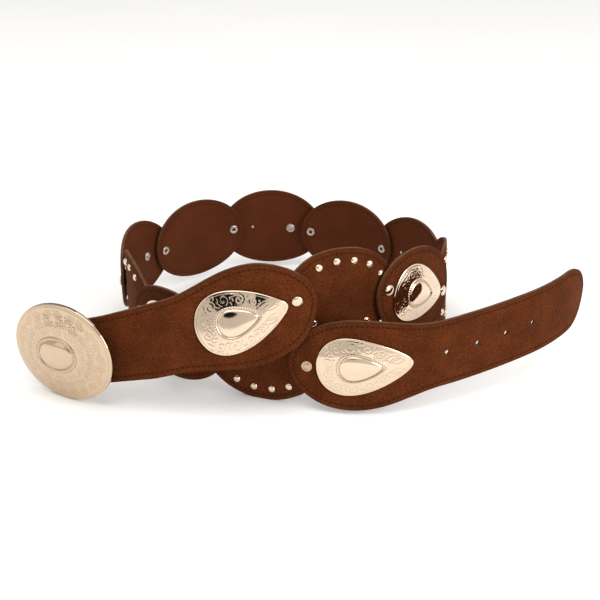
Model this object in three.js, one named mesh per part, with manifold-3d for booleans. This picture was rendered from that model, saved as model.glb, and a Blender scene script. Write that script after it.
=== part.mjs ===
import * as THREE from 'three';
import { mergeVertices } from 'three/addons/utils/BufferGeometryUtils.js';
import Module from 'manifold-3d';

// Concho belt standing on its edge: a loop of oval leather links, a buckle strap and a tail strap.
// Millimetres, +Z up. The floor is z = 0 and the origin is under the middle of the whole belt.

const wasm = await Module();
wasm.setup();

// Driving sizes of the leather
const leather = 2.6;
const gap = 0.3;
const ovalLength = 90.4;
const ovalHeight = 70;
const rivetInset = 9.2;
const strapWidth = 50.5;
const lobeHeight = 68.6;
const lobeEndToWidest = 49.4;
const lobeWidestToRivet = 35.3;
const lobeNeckLength = 60;
const lobeFlat = 6.5;
const tailReach = 246;
const tipRadius = 31;

// Driving sizes of the buckle
const buckleReach = 160;
const plateLength = 92.4;
const plateHeight = 77;
const plateShell = 1.6;
const plateDome = 5.2;
const plateRimLip = 2.4;
const bossLength = 33;
const bossHeight = 22.6;
const bossRise = 2.6;
const bossSlide = -2.5;
const ropeRingGap = 0.8;
const ropeRingWidth = 2.4;
const ropeRingRise = 0.9;
const plateStandOff = 9.4;
const barToPlateCentre = 12.6;
const plateSlide = 3.3;
const barRadius = 1.75;
const armClearance = 3.8;
const hookRadius = 1.8;
const hookLength = 7;
const hookFromPlateEnd = 13;
const flapLength = 36;
const flapEase = 16;
const flapInset = 2.5;
const restSwing = 18.3;

// Driving sizes of the ornaments and fastenings
const lobeTearLength = 67;
const lobeTearWidth = 44;
const ovalTearLength = 61;
const ovalTearWidth = 44;
const lobeTearToRivet = 40;
const tearEdge = 0.9;
const tearFieldRise = 1.9;
const tearDomeRise = 4;
const tearHollow = 0.8;
const tearSeat = 0.7;
const tearPull = 0.43;
const postRadius = 1.3;
const postSpacing = 34;
const postEnd = 0.5;
const backDiscRadius = 4;
const backDiscThickness = 1;
const backDiscSeat = 0.5;
const nailheadRadius = 2.85;
const nailheadRise = 1.5;
const nailheadSeat = 1;
const nailheadInset = 9.2;
const rivetCapRadius = 4.15;
const rivetCapRise = 1.8;
const rivetShankRadius = 2.1;
const rivetRingRadius = 4;
const rivetRingThickness = 0.8;
const rivetEyeRadius = 1.5;
const rivetEyeDepth = 1.6;
const punchRadius = 1.9;
const punchCount = 5;
const punchFromRivet = 98.8;
const punchPitch = 25.1;

// How the belt lies: the joint of the buckle strap and the first link, with its heading in plan.
// The inner links' lining runs courseDepth inside this course.
const courseDepth = 0.7;
const firstRivet = { x: -3.3, y: -76.4, z: 83.6, heading: 12.2 };

// One row for each link, from the buckle strap round the loop to the tail strap.
// turn is its bend in plan, climb its slope along the belt and lean its tilt inward, in degrees.
const links = [
  { kind: 'studded', turn: 26.2, climb: -5.7, lean: 6 },
  { kind: 'concho', turn: 20.1, climb: -19.6, lean: 4 },
  { kind: 'studded', turn: 50.9, climb: -12.0, lean: 2 },
  { kind: 'concho', turn: 28.5, climb: -2.9, lean: 0 },
  { kind: 'studded', turn: 30.9, climb: 3.0, lean: 0 },
  { kind: 'concho', turn: 32.8, climb: 3.8, lean: 0 },
  { kind: 'studded', turn: 28.0, climb: -2.8, lean: 0 },
  { kind: 'concho', turn: 44.6, climb: 1.1, lean: 0 },
  { kind: 'studded', turn: 31.0, climb: 5.0, lean: 0 },
  { kind: 'concho', turn: 34.7, climb: -10.2, lean: 0 },
  { kind: 'studded', turn: 1.7, climb: 1.3, lean: 0.8 },
];

// The straps' bends in plan, counted from their rivet. share is of the strap's reach.
const buckleBends = [
  { share: 0.375, turn: 8.2 },
  { share: 0.3125, turn: 13.0 },
  { share: 0.3125, turn: 3.5 },
];
const tailBends = [
  { share: 0.244, turn: 27.6 },
  { share: 0.203, turn: 15.8 },
  { share: 0.244, turn: 6.9 },
  { share: 0.309, turn: 30.4 },
];
const buckleClimb = 15.9;
const tailClimb = 4.7;

// The straps' tilt inward along their reach. At the first rivet the crown above it leans more,
// and the lobe's skirt below it stands out over the tail's last link, which passes behind it.
const buckleLeans = [
  { share: 0, lean: -5, crown: 14, skirt: 25 },
  { share: 0.06, lean: -5, crown: 15, skirt: 21 },
  { share: 0.18, lean: 15, crown: 17, skirt: 17 },
  { share: 0.62, lean: 17, crown: 17, skirt: 17 },
  { share: 0.86, lean: 2.5, crown: 2.5, skirt: 2.5 },
  { share: 1, lean: 2.5, crown: 2.5, skirt: 2.5 },
];
const tailLeans = [
  { share: -0.045, lean: 1, crown: 1, skirt: 1 },
  { share: -0.018, lean: 2.5, crown: 13, skirt: 2.5 },
  { share: 0.04, lean: 4.4, crown: 13, skirt: 4.4 },
  { share: 0.16, lean: 4.2, crown: 4.2, skirt: 4.2 },
  { share: 1, lean: 1.8, crown: 1.8, skirt: 1.8 },
];

// The nailheads of one row on a studded link, as shares of half the oval's length
const nailheadPlaces = [-0.697, -0.451, -0.155, 0.155, 0.451, 0.697];

// Sizes that follow from the ones above
const pitch = ovalLength - 2 * rivetInset;
const innerTop = leather;
const outerBottom = leather + nailheadRise + gap;
const outerTop = outerBottom + leather;
const tearBase = outerTop + tearSeat;
const shankHole = rivetShankRadius + gap;
const postHole = postRadius + gap;
const foldRadius = barRadius + gap + leather / 2;
const outerMiddle = outerBottom + leather / 2;
const innerMiddle = outerMiddle - leather - gap;
const barDepth = outerMiddle - foldRadius;
const lobeOverhang = lobeEndToWidest - lobeWidestToRivet;

// Where the rings of a teardrop, the plate and a nailhead lie, as shares of their size
const tearCentreShift = -0.08;
const tearShares = { domeShoulder: 0.28, domeFoot: 0.5, field: 0.88, hollow: 0.7, shoulderRise: 0.9 };
const plateShares = { field: 0.7, rimInside: 0.94, hollow: 0.6, bossShoulder: 0.6, bossShoulderRise: 0.75 };
const nailheadShares = { shoulder: 0.8, shoulderRise: 0.6 };
const rivetCapShares = { shoulder: 0.75, shoulderRise: 0.7 };

// How finely the curves are cut
const sides = { tear: 16, plate: 24, bar: 8, disc: 8, nailhead: 6, rivet: 7, post: 5, punch: 7, shank: 8 };
const steps = { oval: 15, lobe: 7, neck: 5, buckleStraight: 5, fold: 6, ease: 5, tailStraight: 7, tip: 5 };

// Colours
const colours = {
  suede: { color: 0x5f3119, roughness: 0.95, metalness: 0 },
  gold: { color: 0xd8b98f, roughness: 0.25, metalness: 1 },
  steel: { color: 0x93877b, roughness: 0.35, metalness: 1 },
};

const radians = THREE.MathUtils.degToRad;
const lerp = THREE.MathUtils.lerp;

// The plan curve: arcs that follow each other, each with its own slope along the belt
function advance(state, distance, curvature, slope) {
  const heading = state.heading + curvature * distance;
  const straight = Math.abs(curvature) < 1e-9;
  const dx = straight
    ? distance * Math.cos(heading)
    : (Math.sin(heading) - Math.sin(state.heading)) / curvature;
  const dy = straight
    ? distance * Math.sin(heading)
    : (Math.cos(state.heading) - Math.cos(heading)) / curvature;
  return {
    s: state.s + distance,
    x: state.x + dx,
    y: state.y + dy,
    z: state.z + slope * distance,
    heading,
  };
}

function makeCourse() {
  const arcs = [];
  const joints = [];
  const start = { ...firstRivet, s: 0, heading: radians(firstRivet.heading) };
  let cursor = start;
  for (const bend of buckleBends) {
    const length = bend.share * buckleReach * Math.cos(radians(buckleClimb));
    const curvature = radians(bend.turn) / length;
    const slope = Math.tan(radians(buckleClimb));
    cursor = advance(cursor, -length, curvature, slope);
    arcs.unshift({ ...cursor, curvature, slope });
  }
  cursor = start;
  for (const link of links) {
    joints.push(cursor);
    const length = pitch * Math.cos(radians(link.climb));
    const curvature = radians(link.turn) / length;
    const slope = Math.tan(radians(link.climb));
    arcs.push({ ...cursor, curvature, slope });
    cursor = advance(cursor, length, curvature, slope);
  }
  joints.push(cursor);
  for (const bend of tailBends) {
    const length = bend.share * tailReach * Math.cos(radians(tailClimb));
    const curvature = radians(bend.turn) / length;
    const slope = Math.tan(radians(tailClimb));
    arcs.push({ ...cursor, curvature, slope });
    cursor = advance(cursor, length, curvature, slope);
  }
  return { arcs, joints };
}

const { arcs, joints } = makeCourse();

function courseAt(s) {
  let arc = arcs[0];
  for (const next of arcs) {
    if (next.s <= s) arc = next;
  }
  return advance(arc, s - arc.s, arc.curvature, arc.slope);
}

function makeLeanStations() {
  const stations = [];
  for (const row of buckleLeans) {
    stations.unshift({ ...row, s: -row.share * buckleReach });
  }
  stations.push({ ...stations[stations.length - 1], s: lobeOverhang });
  links.forEach((link, i) => {
    const s = (joints[i].s + joints[i + 1].s) / 2;
    stations.push({ s, lean: link.lean, crown: link.lean, skirt: link.lean });
  });
  for (const row of tailLeans) {
    stations.push({ ...row, s: joints[links.length].s + row.share * tailReach });
  }
  return stations;
}

const leanStations = makeLeanStations();

// The tangents of the belt's lean at the distance s, and of its crown's and skirt's
function leansAt(s) {
  const last = leanStations.length - 1;
  const clamped = THREE.MathUtils.clamp(s, leanStations[0].s, leanStations[last].s);
  const i = Math.min(last, Math.max(1, leanStations.findIndex((station) => station.s > clamped)));
  const low = leanStations[i - 1];
  const high = leanStations[i];
  const share = (clamped - low.s) / (high.s - low.s);
  return {
    lean: Math.tan(radians(lerp(low.lean, high.lean, share))),
    crown: Math.tan(radians(lerp(low.crown, high.crown, share))),
    skirt: Math.tan(radians(lerp(low.skirt, high.skirt, share))),
  };
}

// A point at the distance s along the belt and the height z. off is its depth, counted outward from
// the inner links' lining.
function beltPoint(s, z, off) {
  const at = courseAt(s);
  const leans = leansAt(s);
  const onOuterLayer = off > (innerTop + outerBottom) / 2;
  const below = onOuterLayer ? Math.max(0, at.z - lobeFlat - z) : 0;
  const above = Math.max(0, z - at.z - lobeFlat);
  const level = off - courseDepth + (at.z - z) * leans.lean;
  const out = level + below * (leans.skirt - leans.lean) - above * (leans.crown - leans.lean);
  return new THREE.Vector3(at.x + out * Math.sin(at.heading), at.y - out * Math.cos(at.heading), z);
}

// A ribbon is a flat pattern laid on the belt from one rivet: u runs along it and v across it
function ribbonAt(joint, climb) {
  return { s: joint.s, z: joint.z, climb: radians(climb) };
}

function ribbonPlace(ribbon, u, v) {
  return {
    s: ribbon.s + u * Math.cos(ribbon.climb) - v * Math.sin(ribbon.climb),
    z: ribbon.z + u * Math.sin(ribbon.climb) + v * Math.cos(ribbon.climb),
  };
}

function ribbonPoint(ribbon, u, v, off) {
  const place = ribbonPlace(ribbon, u, v);
  return beltPoint(place.s, place.z, off);
}

// The local frame on a ribbon: X along it, Y across it and Z outward
function ribbonFrame(ribbon, u, v, off) {
  const origin = ribbonPoint(ribbon, u, v, off);
  const along = ribbonPoint(ribbon, u + 1, v, off).sub(ribbonPoint(ribbon, u - 1, v, off));
  const across = ribbonPoint(ribbon, u, v + 1, off).sub(ribbonPoint(ribbon, u, v - 1, off)).normalize();
  const outward = along.cross(across).normalize();
  const square = across.clone().cross(outward).normalize();
  return new THREE.Matrix4().makeBasis(square, across, outward).setPosition(origin);
}

const linkRibbons = links.map((link, i) => ribbonAt(joints[i], link.climb));
const buckleRibbon = ribbonAt(joints[0], buckleClimb);
const tailRibbon = ribbonAt(joints[links.length], tailClimb);

// Closed meshes

// Joins loops of points into one skin, closed at both ends, and turns its faces outward.
// A loop whose points are all one point closes a dome.
function loftLoops(loops) {
  const positions = [];
  const triangles = [];
  const known = new Map();
  const indexOf = (point) => {
    const key = point.toArray().map((value) => Math.round(value * 1e4)).join();
    if (!known.has(key)) {
      known.set(key, positions.length / 3);
      positions.push(point.x, point.y, point.z);
    }
    return known.get(key);
  };
  const addTriangle = (a, b, c) => {
    if (a !== b && b !== c && c !== a) triangles.push(a, b, c);
  };
  const rows = loops.map((loop) => loop.map(indexOf));
  const count = rows[0].length;
  for (let r = 0; r + 1 < rows.length; r++) {
    for (let c = 0; c < count; c++) {
      const d = (c + 1) % count;
      addTriangle(rows[r][c], rows[r][d], rows[r + 1][d]);
      addTriangle(rows[r][c], rows[r + 1][d], rows[r + 1][c]);
    }
  }
  const addCap = (row, flip) => {
    for (let low = 0, high = count - 1; low + 1 < high; low++, high--) {
      const corners = [row[low], row[low + 1], row[high - 1], row[high]];
      if (flip) corners.reverse();
      addTriangle(corners[0], corners[2], corners[1]);
      addTriangle(corners[0], corners[3], corners[2]);
    }
  };
  addCap(rows[0], false);
  addCap(rows[rows.length - 1], true);
  return faceOutward(positions, triangles);
}

function faceOutward(positions, triangles) {
  let volume = 0;
  const corner = (i) => new THREE.Vector3().fromArray(positions, 3 * triangles[i]);
  for (let i = 0; i < triangles.length; i += 3) {
    volume += corner(i).dot(corner(i + 1).cross(corner(i + 2)));
  }
  if (volume < 0) triangles.reverse();
  const geometry = new THREE.BufferGeometry();
  geometry.setAttribute('position', new THREE.Float32BufferAttribute(positions, 3));
  geometry.setIndex(triangles);
  return geometry;
}

function toSolid(geometry) {
  const bare = geometry.clone();
  bare.deleteAttribute('normal');
  bare.deleteAttribute('uv');
  const merged = mergeVertices(bare, 1e-4);
  return new wasm.Manifold(new wasm.Mesh({
    numProp: 3,
    vertProperties: new Float32Array(merged.attributes.position.array),
    triVerts: new Uint32Array(merged.index.array),
  }));
}

function toGeometry(solid) {
  const mesh = solid.getMesh();
  const geometry = new THREE.BufferGeometry();
  geometry.setAttribute('position', new THREE.BufferAttribute(new Float32Array(mesh.vertProperties), 3));
  geometry.setIndex(new THREE.BufferAttribute(new Uint32Array(mesh.triVerts), 1));
  return geometry;
}

// A turned piece: the profile's points are radius and height, from the axis round to the axis
function turned(profile, count, frame) {
  const points = profile.map(([radius, height]) => new THREE.Vector2(radius, height));
  const geometry = new THREE.LatheGeometry(points, count);
  geometry.rotateX(Math.PI / 2);
  geometry.deleteAttribute('normal');
  geometry.deleteAttribute('uv');
  if (frame) geometry.applyMatrix4(frame);
  const merged = mergeVertices(geometry, 1e-4);
  const triangles = [];
  const index = merged.index.array;
  for (let i = 0; i < index.length; i += 3) {
    const [a, b, c] = [index[i], index[i + 1], index[i + 2]];
    if (a !== b && b !== c && c !== a) triangles.push(a, b, c);
  }
  return faceOutward(Array.from(merged.attributes.position.array), triangles);
}

function cylinder(radius, low, high, count, frame) {
  return turned([[0, low], [radius, low], [radius, high], [0, high]], count, frame);
}

function drill(solid, frame, radius, count) {
  const tool = cylinder(radius, -2 * leather, 2 * outerTop, count, frame);
  return solid.subtract(toSolid(tool));
}

// The frame of a joint's rivet, square to the inner link there
function jointFrame(i) {
  const inner = linkRibbons[2 * Math.floor(i / 2)];
  return ribbonFrame(inner, (i % 2) * pitch, 0, 0);
}

// The leather pieces

// An oval link, cut in upright slices so that it bends with the belt. It is flat where it rests.
function ovalSlab(ribbon, low, high) {
  const a = ovalLength / 2;
  const b = ovalHeight / 2;
  const sin = Math.sin(ribbon.climb);
  const cos = Math.cos(ribbon.climb);
  const reach = Math.hypot(a * cos, b * sin);
  const shear = ((a * a - b * b) * sin * cos) / (reach * reach);
  const centre = ribbonPlace(ribbon, pitch / 2, 0);
  const loops = [];
  for (let i = 0; i <= steps.oval; i++) {
    const share = -Math.cos((Math.PI * i) / steps.oval);
    const ds = share * reach;
    const half = ((a * b) / reach) * Math.sqrt(Math.max(0, 1 - share * share));
    const s = centre.s + ds;
    const bottom = Math.max(0, centre.z + shear * ds - half);
    const top = centre.z + shear * ds + half;
    const crease = THREE.MathUtils.clamp(courseAt(s).z + lobeFlat, bottom, top);
    const outer = [bottom, crease, top].map((z) => beltPoint(s, z, high));
    const inner = [top, crease, bottom].map((z) => beltPoint(s, z, low));
    loops.push(outer.concat(inner));
  }
  return loftLoops(loops);
}

// Half the width of a strap at a distance from its rivet: a round lobe, a neck and the plain strap
function lobeHalfWidth(distance) {
  const half = lobeHeight / 2;
  const end = lobeWidestToRivet;
  if (distance <= end) {
    const share = (end - distance) / lobeEndToWidest;
    return half * Math.sqrt(Math.max(0, 1 - share * share));
  }
  const share = Math.min(1, (distance - end) / lobeNeckLength);
  return strapWidth / 2 + (half - strapWidth / 2) * (1 + Math.cos(Math.PI * share)) / 2;
}

// The distances from the rivet at which a strap's pattern has a row, from its round lobe on
function lobeRows() {
  const rows = [];
  for (let i = 0; i <= steps.lobe; i++) {
    rows.push(lobeWidestToRivet - lobeEndToWidest * Math.cos((Math.PI / 2) * (i / steps.lobe)));
  }
  for (let i = 1; i <= steps.neck; i++) {
    rows.push(lobeWidestToRivet + (lobeNeckLength * i) / steps.neck);
  }
  return rows;
}

// One loop round a strap at a place on its middle line. side is +1 for the tail and -1 for the buckle.
function strapLoop(ribbon, side, place, halfWidth) {
  const flat = Math.min(halfWidth, lobeFlat);
  const outer = [];
  const inner = [];
  for (const v of [-halfWidth, -flat, flat, halfWidth]) {
    const shiftU = (place.normalU * leather) / 2;
    const shiftOff = (place.normalOff * leather) / 2;
    outer.push(ribbonPoint(ribbon, side * (place.u + shiftU), v, place.off + shiftOff));
    inner.unshift(ribbonPoint(ribbon, side * (place.u - shiftU), v, place.off - shiftOff));
  }
  return outer.concat(inner);
}

function flatPlace(u) {
  return { u, off: outerMiddle, normalU: 0, normalOff: 1 };
}

// The buckle strap, folded inward round the bar with its flap glued behind
function buckleStrap() {
  const loops = [];
  const neckEnd = lobeWidestToRivet + lobeNeckLength;
  const half = strapWidth / 2;
  for (const u of lobeRows()) {
    loops.push(strapLoop(buckleRibbon, -1, flatPlace(u), lobeHalfWidth(u)));
  }
  for (let i = 1; i < steps.buckleStraight; i++) {
    const u = lerp(neckEnd, buckleReach, i / steps.buckleStraight);
    loops.push(strapLoop(buckleRibbon, -1, flatPlace(u), half));
  }
  for (let i = 0; i <= steps.fold; i++) {
    const angle = (Math.PI * i) / steps.fold;
    const place = {
      u: buckleReach + foldRadius * Math.sin(angle),
      off: barDepth + foldRadius * Math.cos(angle),
      normalU: Math.sin(angle),
      normalOff: Math.cos(angle),
    };
    loops.push(strapLoop(buckleRibbon, -1, place, half));
  }
  const rise = innerMiddle - (barDepth - foldRadius);
  for (let i = 1; i <= steps.ease; i++) {
    const share = i / steps.ease;
    const slope = ((rise * Math.PI) / (2 * flapEase)) * Math.sin(Math.PI * share);
    const length = Math.hypot(1, slope);
    const place = {
      u: buckleReach - flapEase * share,
      off: lerp(barDepth - foldRadius, innerMiddle, (1 - Math.cos(Math.PI * share)) / 2),
      normalU: -slope / length,
      normalOff: -1 / length,
    };
    loops.push(strapLoop(buckleRibbon, -1, place, half - flapInset * share));
  }
  loops.push(strapLoop(buckleRibbon, -1, {
    u: buckleReach - flapLength,
    off: innerMiddle,
    normalU: 0,
    normalOff: -1,
  }, half - flapInset));
  let solid = toSolid(loftLoops(loops));
  solid = drill(solid, jointFrame(0), shankHole, sides.shank);
  return drillPosts(solid, buckleRibbon, -lobeTearToRivet);
}

// The tail strap with its punched holes and rounded tip
function tailStrap() {
  const loops = [];
  const half = strapWidth / 2;
  const neckEnd = lobeWidestToRivet + lobeNeckLength;
  const tipStart = tailReach - tipRadius;
  const tipEnd = Math.acos((tipRadius - half) / tipRadius);
  for (const u of lobeRows()) {
    loops.push(strapLoop(tailRibbon, 1, flatPlace(u), lobeHalfWidth(u)));
  }
  for (let i = 1; i <= steps.tailStraight; i++) {
    const u = lerp(neckEnd, tipStart, i / steps.tailStraight);
    loops.push(strapLoop(tailRibbon, 1, flatPlace(u), half));
  }
  for (let i = 1; i <= steps.tip; i++) {
    const angle = (tipEnd * i) / steps.tip;
    const u = tipStart + tipRadius * Math.sin(angle);
    loops.push(strapLoop(tailRibbon, 1, flatPlace(u), half - tipRadius + tipRadius * Math.cos(angle)));
  }
  let solid = toSolid(loftLoops(loops));
  solid = drill(solid, jointFrame(links.length), shankHole, sides.shank);
  for (let i = 0; i < punchCount; i++) {
    const frame = ribbonFrame(tailRibbon, punchFromRivet + i * punchPitch, 0, outerBottom);
    solid = drill(solid, frame, punchRadius, sides.punch);
  }
  return drillPosts(solid, tailRibbon, lobeTearToRivet);
}

// The two holes for a concho's posts
function drillPosts(solid, ribbon, centre) {
  let drilled = solid;
  for (const side of [-1, 1]) {
    const frame = ribbonFrame(ribbon, centre + (side * postSpacing) / 2, 0, 0);
    drilled = drill(drilled, frame, postHole, sides.post);
  }
  return drilled;
}

// A nailhead, with its foot set into the leather's face
function nailhead(frame) {
  return turned([
    [0, -nailheadSeat],
    [nailheadRadius, -nailheadSeat],
    [nailheadRadius * nailheadShares.shoulder, nailheadRise * nailheadShares.shoulderRise],
    [0, nailheadRise],
  ], sides.nailhead, frame);
}

// An inner link with its nailheads
function studdedOval(number, ribbon) {
  let solid = toSolid(ovalSlab(ribbon, 0, innerTop));
  for (const joint of [number, number + 1]) {
    solid = drill(solid, jointFrame(joint), shankHole, sides.shank);
  }
  const a = ovalLength / 2;
  const rowLength = a - nailheadInset;
  const rowHeight = ovalHeight / 2 - nailheadInset;
  for (const share of nailheadPlaces) {
    for (const side of [-1, 1]) {
      const along = share * a;
      const across = side * rowHeight * Math.sqrt(1 - (along / rowLength) ** 2);
      solid = solid.add(toSolid(nailhead(ribbonFrame(ribbon, pitch / 2 + along, across, innerTop))));
    }
  }
  return solid;
}

// An outer link, which rides on its neighbours' nailheads and carries a concho
function conchoOval(number, ribbon) {
  let solid = toSolid(ovalSlab(ribbon, outerBottom, outerTop));
  for (const joint of [number, number + 1]) {
    solid = drill(solid, jointFrame(joint), shankHole, sides.shank);
  }
  return drillPosts(solid, ribbon, pitch / 2);
}

// The metal pieces

// A teardrop's edge, full at one end and drawn to a blunt tip at the other.
// share is 1 at the edge itself.
function tearPoint(angle, share, length, width) {
  const widest = (1 - Math.sqrt(1 + 8 * tearPull ** 2)) / (4 * tearPull);
  const full = Math.sqrt(1 - widest ** 2) * (1 - tearPull * widest);
  const centre = length * tearCentreShift;
  const x = (length / 2) * Math.cos(angle);
  const y = (width / 2) * Math.sin(angle) * (1 - tearPull * Math.cos(angle)) / full;
  return { x: centre + (x - centre) * share, y: y * share };
}

// A concho with its two posts. One post ends under the back disc and the other ends free.
function tearConcho(ribbon, centre, length, width) {
  const ring = (share, rise) => Array.from({ length: sides.tear }, (unused, i) => {
    const point = tearPoint((2 * Math.PI * i) / sides.tear, share, length, width);
    return ribbonPoint(ribbon, centre + point.x, point.y, tearBase + rise);
  });
  let solid = toSolid(loftLoops([
    ring(0, tearDomeRise),
    ring(tearShares.domeShoulder, tearDomeRise * tearShares.shoulderRise),
    ring(tearShares.domeFoot, tearFieldRise),
    ring(tearShares.field, tearFieldRise),
    ring(1, tearEdge),
    ring(1, 0),
    ring(tearShares.hollow, tearHollow),
    ring(0, tearHollow),
  ]));
  for (const side of [-1, 1]) {
    const u = centre + (side * postSpacing) / 2;
    const low = side < 0 ? outerBottom : outerBottom - postEnd;
    const high = tearBase + tearFieldRise / 2;
    const post = cylinder(postRadius, low, high, sides.post, ribbonFrame(ribbon, u, 0, 0));
    solid = solid.add(toSolid(post));
  }
  return toGeometry(solid);
}

function backDisc(ribbon, centre) {
  const high = outerBottom - backDiscSeat;
  const frame = ribbonFrame(ribbon, centre - postSpacing / 2, 0, 0);
  return cylinder(backDiscRadius, high - backDiscThickness, high, sides.disc, frame);
}

// A rivet with a cap outside and a ring with an eye inside
function linkRivet(frame) {
  const capBase = outerTop + gap;
  const ringFace = -gap - rivetRingThickness;
  return turned([
    [0, ringFace + rivetEyeDepth],
    [rivetEyeRadius, ringFace + rivetEyeDepth],
    [rivetEyeRadius, ringFace],
    [rivetRingRadius, ringFace],
    [rivetRingRadius, -gap],
    [rivetShankRadius, -gap],
    [rivetShankRadius, capBase],
    [rivetCapRadius, capBase],
    [rivetCapRadius * rivetCapShares.shoulder, capBase + rivetCapRise * rivetCapShares.shoulderRise],
    [0, capBase + rivetCapRise],
  ], sides.rivet, frame);
}

// The buckle plate, in its own frame: the bar lies along Y through the origin and Z is outward

function plateRise(x, y) {
  const share = Math.min(1, (2 * x / plateLength) ** 2 + (2 * y / plateHeight) ** 2);
  return plateDome * (1 - share);
}

function plateRing(lengthRadius, heightRadius, extra, slide = 0) {
  return Array.from({ length: sides.plate }, (unused, i) => {
    const angle = (2 * Math.PI * i) / sides.plate;
    const x = slide + lengthRadius * Math.cos(angle);
    const y = heightRadius * Math.sin(angle);
    return new THREE.Vector3(x - barToPlateCentre, y + plateSlide, plateStandOff + plateRise(x, y) + extra);
  });
}

function platePlate() {
  const a = plateLength / 2;
  const b = plateHeight / 2;
  const field = (share, extra) => plateRing(a * share, b * share, extra);
  const bossA = bossLength / 2;
  const bossB = bossHeight / 2;
  const boss = (share, extra) => plateRing(bossA * share, bossB * share, extra, bossSlide);
  const ring = (beyond, extra) => plateRing(bossA + beyond, bossB + beyond, extra, bossSlide);
  return loftLoops([
    boss(0, bossRise),
    boss(plateShares.bossShoulder, bossRise * plateShares.bossShoulderRise),
    boss(1, 0),
    ring(ropeRingGap, 0),
    ring(ropeRingGap + ropeRingWidth / 2, ropeRingRise),
    ring(ropeRingGap + ropeRingWidth, 0),
    field(plateShares.field, 0),
    field(plateShares.rimInside, 0),
    field(1, 0),
    field(1, -plateRimLip),
    field(plateShares.rimInside, -plateShell),
    field(plateShares.hollow, -plateShell),
    field(0, -plateShell),
  ]);
}

// The plate with the bar, its two arms and the hook peg behind the far end
function bucklePlate() {
  const armY = strapWidth / 2 + armClearance + barRadius;
  const along = new THREE.Matrix4().makeRotationX(-Math.PI / 2);
  let solid = toSolid(platePlate());
  const barEnd = armY + barRadius;
  solid = solid.add(toSolid(cylinder(barRadius, -barEnd, barEnd, sides.bar, along)));
  for (const side of [-1, 1]) {
    const y = side * armY;
    const top = plateStandOff + plateRise(barToPlateCentre, y - plateSlide) - plateShell / 2;
    const place = new THREE.Matrix4().makeTranslation(0, y, 0);
    solid = solid.add(toSolid(cylinder(barRadius, 0, top, sides.bar, place)));
  }
  const hookX = -(plateLength / 2 - hookFromPlateEnd);
  const hookTop = plateStandOff + plateRise(hookX, 0) - plateShell / 2;
  const hookPlace = new THREE.Matrix4().makeTranslation(hookX - barToPlateCentre, plateSlide, 0);
  solid = solid.add(toSolid(cylinder(hookRadius, hookTop - hookLength, hookTop, sides.bar, hookPlace)));
  return toGeometry(solid);
}

// The whole belt

const belt = new THREE.Group();
belt.name = 'belt';

function addPiece(name, geometry, look) {
  const mesh = new THREE.Mesh(geometry, new THREE.MeshStandardMaterial(colours[look]));
  mesh.name = name;
  belt.add(mesh);
  return mesh;
}

function addTear(number, ribbon, centre, length, width) {
  addPiece(`tear_concho_${number}`, tearConcho(ribbon, centre, length, width), 'gold');
  addPiece(`concho_back_${number}`, backDisc(ribbon, centre), 'steel');
}

addPiece('buckle_strap', toGeometry(buckleStrap()), 'suede');
addTear(1, buckleRibbon, -lobeTearToRivet, lobeTearLength, lobeTearWidth);

let studdedCount = 0;
let conchoCount = 0;
links.forEach((link, i) => {
  const ribbon = linkRibbons[i];
  if (link.kind === 'studded') {
    studdedCount += 1;
    addPiece(`studded_oval_${studdedCount}`, toGeometry(studdedOval(i, ribbon)), 'suede');
  } else {
    conchoCount += 1;
    addPiece(`concho_oval_${conchoCount}`, toGeometry(conchoOval(i, ribbon)), 'suede');
    addTear(conchoCount + 1, ribbon, pitch / 2, ovalTearLength, ovalTearWidth);
  }
});

addPiece('tail_strap', toGeometry(tailStrap()), 'suede');
addTear(conchoCount + 2, tailRibbon, lobeTearToRivet, lobeTearLength, lobeTearWidth);

joints.forEach((joint, i) => {
  addPiece(`link_rivet_${i + 1}`, linkRivet(jointFrame(i)), 'gold');
});

const plate = addPiece('buckle_plate', bucklePlate(), 'gold');
const barFrame = ribbonFrame(buckleRibbon, -buckleReach, 0, barDepth);
const swing = new THREE.Matrix4().makeRotationY(-radians(restSwing));
plate.applyMatrix4(barFrame.multiply(swing));

// The origin goes under the middle of the belt's box, on the floor
belt.updateMatrixWorld(true);
const box = new THREE.Box3().setFromObject(belt, true);
belt.position.set(-(box.min.x + box.max.x) / 2, -(box.min.y + box.max.y) / 2, -box.min.z);
belt.updateMatrixWorld(true);

export default belt;
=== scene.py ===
"""A concho belt standing on its edge: suede links and straps with engraved gold conchos and buckle."""

import math

import bpy
import numpy as np
from mathutils import Matrix, Vector


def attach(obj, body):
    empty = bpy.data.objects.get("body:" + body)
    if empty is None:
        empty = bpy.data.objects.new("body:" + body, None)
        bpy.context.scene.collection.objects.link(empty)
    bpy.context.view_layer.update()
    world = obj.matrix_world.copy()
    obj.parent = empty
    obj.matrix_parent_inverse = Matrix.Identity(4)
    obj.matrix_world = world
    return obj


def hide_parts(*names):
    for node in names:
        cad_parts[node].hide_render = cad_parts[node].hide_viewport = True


# Sizes are in millimetres, as the belt's own, and MM turns them into metres
MM = 0.001

# Leather
LEATHER = 2.6
GAP = 0.3
OVAL_LENGTH = 90.4
OVAL_HEIGHT = 70.0
RIVET_INSET = 9.2
STRAP_WIDTH = 50.5
LOBE_HEIGHT = 68.6
LOBE_END_TO_WIDEST = 49.4
LOBE_WIDEST_TO_RIVET = 35.3
LOBE_NECK_LENGTH = 60.0
LOBE_FLAT = 6.5
CREASE_SOFTNESS = 4.0
TAIL_REACH = 246.0
TIP_RADIUS = 31.0
BUCKLE_REACH = 160.0

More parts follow.
